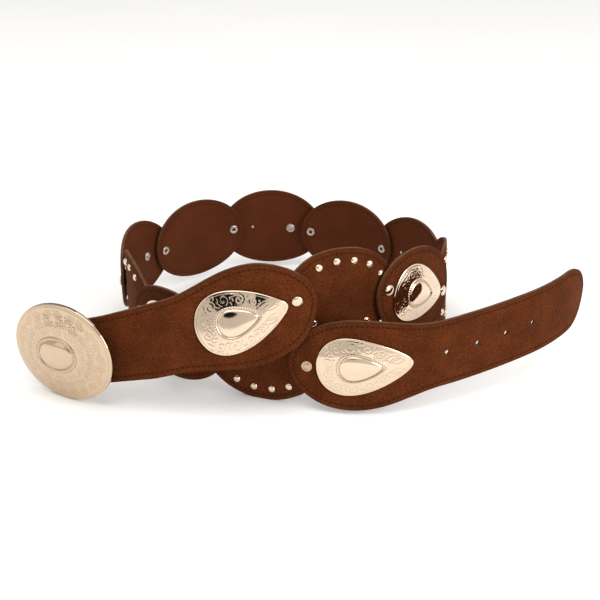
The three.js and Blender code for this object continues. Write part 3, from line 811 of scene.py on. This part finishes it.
def buckle_place(t, height):
    """The buckle strap's way: flat, then round the bar, then back as the flap behind."""
    fold = math.pi * FOLD_RADIUS
    angle = np.clip((t - BUCKLE_REACH) / FOLD_RADIUS, 0, math.pi)
    back = np.maximum(0.0, t - BUCKLE_REACH - fold)
    share = np.clip(back / FLAP_EASE, 0, 1)
    rise = INNER_MIDDLE - (BAR_DEPTH - FOLD_RADIUS)
    slope = ((rise * math.pi) / (2 * FLAP_EASE)) * np.sin(math.pi * share)
    length = np.hypot(1, slope)
    lift = rise * (1 - np.cos(math.pi * share)) / 2
    u = np.minimum(t, BUCKLE_REACH) + FOLD_RADIUS * np.sin(angle) - back
    off = BAR_DEPTH + FOLD_RADIUS * np.cos(angle) + lift
    normal_u = np.where(back > 0, -slope / length, np.sin(angle))
    normal_off = np.where(back > 0, -1 / length, np.cos(angle))
    return u + normal_u * height, off + normal_off * height


def punch_holes(piece):
    """Cuts the tail's punched holes right through."""
    gatherer = Gatherer()
    for number in range(PUNCH_COUNT):
        matrix = ribbon_frame(TAIL_RIBBON, PUNCH_FROM_RIVET + number * PUNCH_PITCH, 0.0, OUTER_BOTTOM)
        low, high = -LEATHER, 2 * LEATHER
        profile = ((0, low), (PUNCH_RADIUS, low), (PUNCH_RADIUS, high), (0, high))
        points, faces = turned_mesh(profile, 24, matrix)
        points, faces, _, _ = weld(points, faces)
        gatherer.add(points, face_outward(points, faces))
    cutter = gatherer.make("punch_tool", (EDGE_PAINT,), "belt")
    cut = piece.modifiers.new("punched", "BOOLEAN")
    cut.operation = "DIFFERENCE"
    cut.solver = "EXACT"
    cut.object = cutter
    bpy.context.view_layer.update()
    evaluated = piece.evaluated_get(bpy.context.evaluated_depsgraph_get())
    mesh = bpy.data.meshes.new_from_object(evaluated)
    piece.modifiers.clear()
    old = piece.data
    piece.data = mesh
    bpy.data.meshes.remove(old)
    bpy.data.objects.remove(cutter)


def add_leather(node, outline, ribbon, side, place):
    piece = leather_piece(f"{node}_leather", outline, ribbon, side, place)
    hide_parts(node)
    add_stitches(f"{node}_stitches", outline, ribbon, side, place)
    return piece


# Engraving

def spiral(centre, radius, turns, start, hand, steps=26):
    """A scroll that winds in from its radius. hand is +1 or -1."""
    share = np.linspace(0, 1, steps)
    r = radius * (1 - 0.86 * share)
    angle = start + hand * 2 * math.pi * turns * share
    return np.stack([centre[0] + r * np.cos(angle), centre[1] + r * np.sin(angle)], -1)


def leaf(root, tip, bend, steps=9):
    """One side of a leaf: a bowed line from its root to its tip."""
    root = np.asarray(root, float)
    tip = np.asarray(tip, float)
    share = np.linspace(0, 1, steps)[:, None]
    across = np.array([-(tip - root)[1], (tip - root)[0]])
    return root + (tip - root) * share + across * bend * np.sin(math.pi * share)


def scroll_motif(centre, radius, start, hand):
    """A scroll with a round eye and a fan of petals on its outer side."""
    strokes = [spiral(centre, radius, 1.45, start, hand)]
    for i in range(6):
        angle = start + hand * (0.5 + 0.62 * i)
        root = (centre[0] + 1.12 * radius * math.cos(angle), centre[1] + 1.12 * radius * math.sin(angle))
        tip_angle = angle - hand * 0.35
        reach = 1.55 * radius
        tip = (centre[0] + reach * math.cos(tip_angle), centre[1] + reach * math.sin(tip_angle))
        strokes.append(leaf(root, tip, 0.22 * hand))
    return strokes


def carve(points, strokes, width):
    """How deep each point lies in the nearest stroke, from 0 to 1."""
    depth = np.zeros(len(points))
    for stroke in strokes:
        low = stroke.min(0) - 3 * width
        high = stroke.max(0) + 3 * width
        near = np.flatnonzero(np.all((points > low) & (points < high), axis=1))
        if not len(near):
            continue
        start = stroke[:-1]
        step = stroke[1:] - start
        length = np.maximum(1e-9, (step ** 2).sum(1))
        rel = points[near, None, :] - start[None]
        share = np.clip((rel * step[None]).sum(-1) / length, 0, 1)
        distance = np.linalg.norm(rel - share[..., None] * step[None], axis=-1).min(1)
        depth[near] = np.maximum(depth[near], np.exp(-((distance / width) ** 2)))
    return depth


# Conchos

TEAR_ANGLES = 300
TEAR_RINGS = 84


def tear_outline(angle, length, width):
    """The teardrop's edge: full at one end and drawn to a blunt tip at the other."""
    widest = (1 - math.sqrt(1 + 8 * TEAR_PULL ** 2)) / (4 * TEAR_PULL)
    full = math.sqrt(1 - widest ** 2) * (1 - TEAR_PULL * widest)
    x = (length / 2) * np.cos(angle)
    y = (width / 2) * np.sin(angle) * (1 - TEAR_PULL * np.cos(angle)) / full
    return x, y


def tear_strokes(length, width):
    """Scrolls and leaves in the field round the dome."""
    strokes = []
    centre = length * TEAR_CENTRE_SHIFT

    def field_point(degrees, share):
        x, y = tear_outline(np.array(math.radians(degrees)), length, width)
        return centre + (float(x) - centre) * share, float(y) * share

    for side in (1, -1):
        hand = side
        for degrees, size in ((168, 0.062), (136, 0.068), (108, 0.07), (82, 0.062), (60, 0.05)):
            place = field_point(side * degrees, 0.735)
            strokes.extend(scroll_motif(place, size * length, math.radians(side * (degrees + 90)), hand))
            hand = -hand
        for degrees in (44, 32):
            root = field_point(side * degrees, 0.62)
            tip = field_point(side * (degrees - 12), 0.88)
            strokes.append(leaf(root, tip, 0.18))
            strokes.append(leaf(root, tip, -0.18))
    return strokes


def tear_height(share):
    """The height of the smooth form over its base, from the middle (share 0) to the edge (share 1)."""
    shell = TEAR_EDGE_RISE + TEAR_SHELL_RISE * (1 - share ** 2)
    dome = TEAR_CUSHION_RISE * np.sqrt(np.maximum(0, 1 - (share / TEAR_CUSHION_SHARE) ** 2))
    groove = TEAR_GROOVE_DEPTH * bell(share, TEAR_GROOVE_SHARE, TEAR_GROOVE_WIDTH)
    edge = TEAR_EDGE_RISE * np.clip((share - 0.975) / 0.025, 0, 1) ** 2
    return shell + dome - groove - edge


def make_tear(number, node, ribbon, centre, size, turn=0.0):
    """An engraved concho: a smooth cushion in a ring of beads, with scrolls round it."""
    length, width = size
    angle = np.linspace(0, 2 * math.pi, TEAR_ANGLES, endpoint=False)
    edge_x, edge_y = tear_outline(angle, length, width)
    middle = length * TEAR_CENTRE_SHIFT
    share = np.linspace(0, 1, TEAR_RINGS)
    x = middle + share[:, None] * (edge_x - middle)
    y = share[:, None] * edge_y
    flat = np.stack([x.ravel(), y.ravel()], -1)
    cut = carve(flat, tear_strokes(length, width), TEAR_SCROLL_WIDTH)
    share_all = np.repeat(share, TEAR_ANGLES)
    on_field = np.clip((share_all - 0.55) / 0.03, 0, 1) * np.clip((0.95 - share_all) / 0.03, 0, 1)
    cut = cut * on_field
    line = bell(share_all, 0.925, 0.008)
    bead_x, bead_y = 0.48 * (edge_x - middle), 0.48 * edge_y
    steps = np.hypot(np.diff(bead_x, append=bead_x[0]), np.diff(bead_y, append=bead_y[0]))
    travelled = np.concatenate([[0], np.cumsum(steps)[:-1]])
    beads = round(steps.sum() / TEAR_BEAD_PITCH)
    wave = 0.5 + 0.5 * np.cos(2 * math.pi * beads * travelled / steps.sum())
    bead_band = np.maximum(0, 1 - ((share_all - 0.485) / 0.032) ** 2)
    bead = bead_band * np.tile(0.25 + 0.75 * np.sqrt(wave), TEAR_RINGS)
    relief = TEAR_BEAD_RISE * bead - TEAR_SCROLL_DEPTH * cut - TEAR_LINE_DEPTH * line
    height = tear_height(share_all) + relief
    between = bead_band * (1 - np.tile(np.sqrt(wave), TEAR_RINGS)) * 0.8
    # Painted shade: the groove round the cushion is tinted dark all the way round.
    groove = 0.9 * bell(share_all, TEAR_GROOVE_SHARE, TEAR_GROOVE_WIDTH)
    engraving = np.clip(0.42 * cut + 0.3 * line + between + groove, 0, 1)
    def place(across, up, rise):
        along = across * math.cos(turn) - up * math.sin(turn)
        level = across * math.sin(turn) + up * math.cos(turn)
        return ribbon_points(ribbon, centre + along, level, TEAR_BASE + rise)

    rings = [place(x.ravel(), y.ravel(), height)]
    for back_share, back_height in ((1.0, 0.0), (0.95, 0.0), (0.9, 0.6), (0.45, 0.8), (0.0, 0.8)):
        back_x = middle + back_share * (edge_x - middle)
        rings.append(place(back_x, back_share * edge_y, back_height))
    points = np.concatenate(rings)
    engraving = np.concatenate([engraving, np.zeros(len(points) - len(engraving))])
    faces = grid_faces(len(points) // TEAR_ANGLES, TEAR_ANGLES, True)
    points, faces, _, first = weld(points, faces)
    faces = face_outward(points, faces)
    attributes = {"engraving": engraving[first]}
    piece = add_piece(f"{node}_engraved", points, faces, (GOLD,), "belt", None, attributes)
    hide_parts(node)
    gatherer = Gatherer()
    for side in (1, -1):
        low = OUTER_BOTTOM - POST_END if side > 0 else OUTER_BOTTOM
        matrix = ribbon_frame(ribbon, centre + side * POST_SPACING / 2, 0.0, 0.0)
        profile = [(0, low)] + arc_profile((0.9, low), (POST_RADIUS, low + 0.3), False, 4)
        profile += [(POST_RADIUS, TEAR_BASE + 1.0)]
        gatherer.turn(profile, 20, matrix)
    gatherer.make(f"concho_posts_{number}", (STEEL,), "belt")
    matrix = ribbon_frame(ribbon, centre - POST_SPACING / 2, 0.0, 0.0)
    high = OUTER_BOTTOM - BACK_DISC_SEAT
    low = high - BACK_DISC_THICKNESS
    profile = [(0, low + 0.35), (1.0, low + 0.35), (1.35, low)]
    profile += arc_profile((2.9, low), (BACK_DISC_RADIUS, low + 0.6), True, 6)
    profile += [(BACK_DISC_RADIUS, high), (0, high)]
    points, faces = turned_mesh(profile, 36, matrix)
    disc = add_piece(f"concho_back_{number}_disc", points, faces, (STEEL,), "belt")
    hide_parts(f"concho_back_{number}")


# Nailheads and rivets

def add_nailheads(number, ribbon):
    """Domed nailheads along the upper and lower edges, and their tips on the lining."""
    heads = Gatherer()
    tips = Gatherer()
    half = OVAL_LENGTH / 2
    row_height = OVAL_HEIGHT / 2 - NAILHEAD_INSET
    for share in NAILHEAD_PLACES:
        for side in (1, -1):
            along = share * half
            across = side * row_height * math.sqrt(1 - (along / (half - NAILHEAD_INSET)) ** 2)
            matrix = ribbon_frame(ribbon, PITCH / 2 + along, across, INNER_TOP)
            profile = [(0, -0.2), (NAILHEAD_RADIUS, -0.2)]
            profile += [
                (NAILHEAD_RADIUS * math.cos(angle), NAILHEAD_RISE * math.sin(angle))
                for angle in np.linspace(0, math.pi / 2, 8)
            ]
            heads.turn(profile, 20, matrix)
            matrix = ribbon_frame(ribbon, PITCH / 2 + along, across, 0.0)
            profile = [(NAIL_TIP_RADIUS, 0.1), (0.8 * NAIL_TIP_RADIUS, -0.12), (0, -0.2)]
            tips.turn(profile, 10, matrix)
    heads.make(f"studded_oval_{number}_nailheads", (GOLD,), "belt")
    tips.make(f"studded_oval_{number}_nail_tips", (DARK_METAL_AND_PAINTED_SHADE,), "belt")


def add_rivet(number):
    """A rivet: a domed cap outside, flat with a pressed ring on the last one, and an eyelet inside with a
    dark disc in it as painted shadow.
    """
    matrix = joint_frame(number - 1)
    cap_base = OUTER_TOP + GAP
    ring_face = -GAP - RIVET_RING_THICKNESS
    last = number == len(JOINTS)
    cap = [
        (RIVET_SHANK_RADIUS, cap_base),
        (RIVET_CAP_RADIUS - 0.2, cap_base),
        (RIVET_CAP_RADIUS, cap_base + 0.25),
    ]
    if last:
        cap += [
            (RIVET_CAP_RADIUS - 0.15, cap_base + 0.75),
            (RIVET_CAP_RADIUS - 0.6, cap_base + 1.0),
            (RIVET_CAP_RADIUS - 1.1, cap_base + 0.95),
            (RIVET_CAP_RADIUS - 1.45, cap_base + 0.45),
            (RIVET_CAP_RADIUS - 1.8, cap_base + 0.95),
            (1.0, cap_base + 1.15),
            (0, cap_base + 1.2),
        ]
    else:
        cap += [
            (RIVET_CAP_RADIUS * math.cos(angle), cap_base + 0.3 + (RIVET_CAP_RISE - 0.3) * math.sin(angle))
            for angle in np.linspace(0.15, math.pi / 2, 9)
        ]
    shank = [(RIVET_SHANK_RADIUS, -GAP), (RIVET_SHANK_RADIUS, cap_base)]
    gatherer = Gatherer()
    gatherer.turn(shank + cap[1:], 32, matrix)
    ring = [
        (RIVET_EYE_RADIUS, ring_face + RIVET_EYE_DEPTH),
        (RIVET_EYE_RADIUS, ring_face + 0.3),
        (RIVET_EYE_RADIUS + 0.25, ring_face + 0.05),
        (RIVET_EYE_RADIUS + 0.7, ring_face),
        (RIVET_RING_RADIUS - 0.9, ring_face + 0.05),
        (RIVET_RING_RADIUS - 0.3, ring_face + 0.25),
        (RIVET_RING_RADIUS, -GAP),
        (RIVET_SHANK_RADIUS, -GAP),
    ]
    gatherer.turn(ring, 32, matrix, 1)
    # Painted shadow: a dark disc inside the eyelet stands in for the shade in its hollow.
    eye = [(0, ring_face + 1.1), (RIVET_EYE_RADIUS - 0.02, ring_face + 1.1)]
    gatherer.turn(eye, 32, matrix, 2)
    cap_material = DULL_GOLD if last else GOLD
    piece = gatherer.make(f"rivet_{number}", (cap_material, STEEL, RIVET_EYE_SHADOW), "belt")
    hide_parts(f"link_rivet_{number}")


# Buckle

PLATE_ANGLES = 400
PLATE_BOSS_REACH = 4.6
DEEP_CUTS_AT = math.radians(66)


def plate_strokes():
    """Scrolls and leaves in the field round the boss, in three rows."""
    strokes = []
    a = PLATE_LENGTH / 2
    b = PLATE_HEIGHT / 2
    for count, share, radius, offset in ((12, 0.545, 3.5, 0.5), (16, 0.7, 3.2, 0.0), (22, 0.85, 2.8, 0.5)):
        for i in range(count):
            angle = 2 * math.pi * (i + offset) / count
            place = (share * a * math.cos(angle), share * b * math.sin(angle))
            hand = 1 if i % 2 else -1
            strokes.extend(scroll_motif(place, radius, angle + hand * math.pi / 2, hand))
    for i in range(72):
        angle = 2 * math.pi * i / 72
        root = (0.6 * a * math.cos(angle), 0.6 * b * math.sin(angle))
        tip = (0.655 * a * math.cos(angle + 0.05), 0.655 * b * math.sin(angle + 0.05))
        strokes.append(leaf(root, tip, 0.2, 4))
    return strokes


def make_plate(matrix):
    """The engraved plate: a low dome with a smooth oval boss and a roped ring round it."""
    a = PLATE_LENGTH / 2
    b = PLATE_HEIGHT / 2
    boss_a = BOSS_LENGTH / 2
    boss_b = BOSS_HEIGHT / 2
    angle = np.linspace(0, 2 * math.pi, PLATE_ANGLES, endpoint=False)
    boss_share = np.linspace(0, 1, 22)
    beyond = np.linspace(0, PLATE_BOSS_REACH, 19)[1:]
    share = np.linspace(0, 1, 70)[1:]

    def radii(inner, whole):
        field_start = inner + PLATE_BOSS_REACH
        field = field_start + share * (whole - field_start)
        return np.concatenate([inner * boss_share, inner + beyond, field])

    long_radii = radii(boss_a, a)
    high_radii = radii(boss_b, b)
    ring_beyond = np.concatenate([boss_b * (boss_share - 1), beyond, PLATE_BOSS_REACH + 20 * share])
    slide = BOSS_SLIDE * np.concatenate([np.ones(len(boss_share) + len(beyond)), 1 - share])
    x = slide[:, None] + long_radii[:, None] * np.cos(angle)
    y = high_radii[:, None] * np.sin(angle)
    flat = np.stack([x.ravel(), y.ravel()], -1)
    past_boss = np.repeat(ring_beyond, PLATE_ANGLES)
    level = np.minimum(1.0, np.hypot(flat[:, 0] / a, flat[:, 1] / b))
    around = np.tile(angle, len(long_radii))
    dome = PLATE_DOME * (1 - level ** 2)
    boss_level = np.hypot((flat[:, 0] - BOSS_SLIDE) / boss_a, flat[:, 1] / boss_b)
    boss = BOSS_RISE * np.maximum(0, 1 - boss_level ** 2) ** 0.7
    boss_line = 0.35 * bell(past_boss, 0.35, 0.3)
    ring_middle = ROPE_RING_GAP + ROPE_RING_WIDTH / 2
    rope_band = np.maximum(0, 1 - ((past_boss - ring_middle) / (ROPE_RING_WIDTH / 2)) ** 2)
    outer_line = 0.3 * bell(past_boss, ROPE_RING_GAP + ROPE_RING_WIDTH + 0.3, 0.3)
    twist = around * ROPE_STRANDS + 2.0 * past_boss
    strand = 0.5 + 0.5 * np.cos(twist)
    rope = ROPE_RING_RISE * np.sqrt(rope_band) * (0.55 + 0.45 * np.sqrt(strand))
    cut = carve(flat, plate_strokes(), PLATE_SCROLL_WIDTH)
    deeper = np.exp(-(((around - DEEP_CUTS_AT) / 0.62) ** 4) - ((level - 0.72) / 0.13) ** 4)
    on_field = np.clip((past_boss - 4.1) / 0.4, 0, 1) * np.clip((0.95 - level) / 0.01, 0, 1)
    cut = cut * on_field
    rim_line = bell(level, 0.955, 0.006)
    rim_round = PLATE_RIM_ROUND * np.clip((level - 0.975) / 0.025, 0, 1) ** 2
    cuts = PLATE_SCROLL_DEPTH * (1 + deeper) * cut + PLATE_LINE_DEPTH * rim_line
    relief = boss - boss_line - outer_line + rope - cuts - rim_round
    height = PLATE_STAND_OFF + dome + relief
    between = np.where(rope_band > 0.05, 0.35 * (1 - np.sqrt(strand)), 0)
    tint = (0.45 + 0.5 * deeper) * cut + 0.3 * rim_line + between + boss_line + outer_line
    engraving = np.clip(tint, 0, 1)
    top = np.stack([flat[:, 0] - BAR_TO_PLATE_CENTRE, flat[:, 1] + PLATE_SLIDE, height], -1)
    rings = [top]
    for back_level in (1.0, 0.985, 0.9, 0.6, 0.3, 0.0):
        drop = PLATE_RIM_LIP if back_level == 1.0 else PLATE_SHELL
        back_x = back_level * a * np.cos(angle)
        back_y = back_level * b * np.sin(angle)
        back_z = np.full(PLATE_ANGLES, PLATE_STAND_OFF + PLATE_DOME * (1 - back_level ** 2) - drop)
        rings.append(np.stack([back_x - BAR_TO_PLATE_CENTRE, back_y + PLATE_SLIDE, back_z], -1))
    local = np.concatenate(rings)
    engraving = np.concatenate([engraving, np.zeros(len(local) - len(engraving))])
    row_count = len(local) // PLATE_ANGLES
    faces = grid_faces(row_count, PLATE_ANGLES, True)
    wall = len(long_radii) - 1
    # Painted shadow: the upper arc of the rim wall takes the dark metal, standing in for shade and a dark
    # reflection there.
    in_shade = (np.sin(angle) > 0.5) & (np.cos(angle) < 0.6)
    back = [int(row > wall or (row == wall and in_shade[column]))
            for row in range(row_count - 1) for column in range(PLATE_ANGLES)]
    points = local @ np.array(matrix.to_3x3()).T + np.array(matrix.translation)
    points, faces, back, first = weld(points, faces, back)
    faces = face_outward(points, faces)
    attributes = {"engraving": engraving[first]}
    metals = (SHADED_PLATE_GOLD, DARK_METAL_AND_PAINTED_SHADE)
    piece = add_piece("buckle_plate_engraved", points, faces, metals, "buckle", back, attributes)
    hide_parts("buckle_plate")


def plate_back_height(x, y):
    """The height of the plate's inner face at a place in the plate's frame."""
    level = (2 * (x + BAR_TO_PLATE_CENTRE) / PLATE_LENGTH) ** 2 + (2 * (y - PLATE_SLIDE) / PLATE_HEIGHT) ** 2
    return PLATE_STAND_OFF + PLATE_DOME * (1 - min(1.0, level)) - PLATE_SHELL


def rod_profile(radius, length, round_start):
    """A rod from height 0 to its length, with a rounded end and a plain one."""
    rounded = [
        (radius * math.sin(angle), radius - radius * math.cos(angle))
        for angle in np.linspace(0, math.pi / 2, 8)
    ]
    plain = [(0, 0), (radius, 0)]
    return (rounded if round_start else plain) + [(radius, length)]


def add_plate_fittings(matrix):
    """The bar, its two arms and the hook peg behind the plate."""
    gatherer = Gatherer()
    arm_y = STRAP_WIDTH / 2 + ARM_CLEARANCE + BAR_RADIUS
    reach = arm_y + BAR_RADIUS
    bar = rod_profile(BAR_RADIUS, reach, True)
    for turn in (math.pi / 2, -math.pi / 2):
        place = Matrix.Rotation(turn, 4, "X") @ Matrix.Translation((0, 0, -reach))
        gatherer.turn(bar, 24, matrix @ place)
    for side in (1, -1):
        y = side * arm_y
        length = plate_back_height(0, y) + 0.4
        flare = [(BAR_RADIUS, 0), (BAR_RADIUS, length - 2.0), (BAR_RADIUS + 0.35, length - 0.9),
                 (BAR_RADIUS + 1.2, length)]
        gatherer.turn(flare, 24, matrix @ Matrix.Translation((0, y, 0)))
    hook_x = HOOK_FROM_PLATE_END - PLATE_LENGTH / 2 - BAR_TO_PLATE_CENTRE
    top = plate_back_height(hook_x, PLATE_SLIDE) + 0.8
    hook = rod_profile(HOOK_RADIUS, HOOK_LENGTH - 0.8, True)
    hook[-1:] = [(HOOK_RADIUS, HOOK_LENGTH - 2.2), (HOOK_RADIUS + 1.1, HOOK_LENGTH - 0.5)]
    place = Matrix.Translation((hook_x, PLATE_SLIDE, top - HOOK_LENGTH))
    gatherer.turn(hook, 24, matrix @ place)
    gatherer.make("buckle_fittings", (DULL_GOLD,), "buckle")


# The belt

add_leather("buckle_strap", buckle_outline(), BUCKLE_RIBBON, -1, buckle_place)
tail = add_leather("tail_strap", tail_outline(), TAIL_RIBBON, 1, outer_place)
punch_holes(tail)
make_tear(1, "tear_concho_1", BUCKLE_RIBBON, -LOBE_TEAR_TO_RIVET, LOBE_TEAR, STRAP_TEAR_TURN)
make_tear(7, "tear_concho_7", TAIL_RIBBON, LOBE_TEAR_TO_RIVET, LOBE_TEAR, STRAP_TEAR_TURN)

studded_count = 0
concho_count = 0
for link_ribbon, (studded, _, _, _) in zip(LINK_RIBBONS, LINKS):
    if studded:
        studded_count += 1
        add_leather(f"studded_oval_{studded_count}", oval_outline(), link_ribbon, 1, inner_place)
        add_nailheads(studded_count, link_ribbon)
    else:
        concho_count += 1
        add_leather(f"concho_oval_{concho_count}", oval_outline(), link_ribbon, 1, outer_place)
        make_tear(concho_count + 1, f"tear_concho_{concho_count + 1}", link_ribbon, PITCH / 2, OVAL_TEAR)

for rivet_number in range(1, len(JOINTS) + 1):
    add_rivet(rivet_number)

bar_frame = ribbon_frame(BUCKLE_RIBBON, -BUCKLE_REACH, 0.0, BAR_DEPTH)
plate_frame = bar_frame @ Matrix.Rotation(-math.radians(REST_SWING), 4, "Y")
make_plate(plate_frame)
add_plate_fittings(plate_frame)


# The studio

def make_floor():
    half = 12.0
    mesh = bpy.data.meshes.new("floor")
    corners = [(-half, -half, 0), (half, -half, 0), (half, half, 0), (-half, half, 0)]
    mesh.from_pydata(corners, [], [(0, 1, 2, 3)])
    material, nodes, links, shader = new_material("floor")
    uneven = add_noise(nodes, links, 3.0, 2.0)
    pale = add_ramp(nodes, links, uneven, ((0.2, srgb(250, 250, 249)), (0.8, srgb(254, 254, 253))))
    links.new(pale, shader.inputs["Base Color"])
    set_values(shader, {"Roughness": 0.9, "Specular IOR Level": 0.1})
    mesh.materials.append(material)
    floor = bpy.data.objects.new("floor", mesh)
    bpy.context.scene.collection.objects.link(floor)


def add_light(name, place, target, size, power):
    """A square soft light that faces a target, in metres."""
    light = bpy.data.lights.new(name, "AREA")
    light.shape = "RECTANGLE"
    light.size, light.size_y = size
    light.energy = power
    lamp = bpy.data.objects.new(name, light)
    lamp.location = place
    lamp.rotation_euler = (Vector(target) - Vector(place)).to_track_quat("-Z", "Y").to_euler()
    bpy.context.scene.collection.objects.link(lamp)


def add_dot(nodes, links, direction):
    """How far the view from the belt points along a direction, from -1 to 1."""
    place = nodes.new("ShaderNodeTexCoord")
    dot = nodes.new("ShaderNodeVectorMath")
    dot.operation = "DOT_PRODUCT"
    dot.inputs[1].default_value = Vector(direction).normalized()
    links.new(place.outputs["Generated"], dot.inputs[0])
    return dot.outputs["Value"]


def make_world():
    """Bright studio walls with one dark opening up in front, which the polished metal mirrors."""
    world = bpy.data.worlds.new("studio")
    world.use_nodes = True
    nodes = world.node_tree.nodes
    links = world.node_tree.links
    walls = add_ramp(nodes, links, add_dot(nodes, links, OPENING_DIRECTION), (
        (OPENING_EDGE - 0.003, (1.0, 0.99, 0.97, 1.0)),
        (OPENING_EDGE, (0.02, 0.018, 0.016, 1.0)),
    ))
    rightward = add_dot(nodes, links, (1.0, 0.0, 0.0))
    dim = (LEFT_WALL, LEFT_WALL, LEFT_WALL, 1.0)
    sides = add_ramp(nodes, links, rightward, ((0.0, dim), (0.6, (1.0, 1.0, 1.0, 1.0))))
    lit = add_mix(nodes, links, 1.0, walls, sides, "MULTIPLY")
    links.new(lit, nodes["Background"].inputs["Color"])
    nodes["Background"].inputs["Strength"].default_value = 1.0
    bpy.context.scene.world = world


def make_camera():
    camera = bpy.data.cameras.new("camera")
    camera.sensor_width = SENSOR_WIDTH
    camera.lens = CAMERA_FOCAL_PIXELS / FRAME_PIXELS * SENSOR_WIDTH
    camera.clip_start = 0.01
    camera.clip_end = 100.0
    target = (Vector(CAMERA_TARGET) + Vector(BELT_SHIFT)) * MM
    rise = math.radians(CAMERA_ELEVATION)
    back = Vector((0, -math.cos(rise), math.sin(rise)))
    holder = bpy.data.objects.new("camera", camera)
    holder.location = target + back * CAMERA_DISTANCE * MM
    holder.rotation_euler = (math.pi / 2 - rise, 0, 0)
    bpy.context.scene.collection.objects.link(holder)
    bpy.context.scene.camera = holder


make_floor()
make_world()
make_camera()
add_light("soft_top", (-0.3, -0.3, 1.5), (0, 0, 0), (1.6, 1.2), 11)
add_light("soft_left", (-1.5, -0.9, 0.8), (0, 0, 0.05), (1.0, 1.2), 1.5)
add_light("soft_right", (1.6, -1.1, 0.9), (0, 0, 0.05), (1.0, 1.2), 20)
bpy.context.scene.view_settings.view_transform = "Standard"
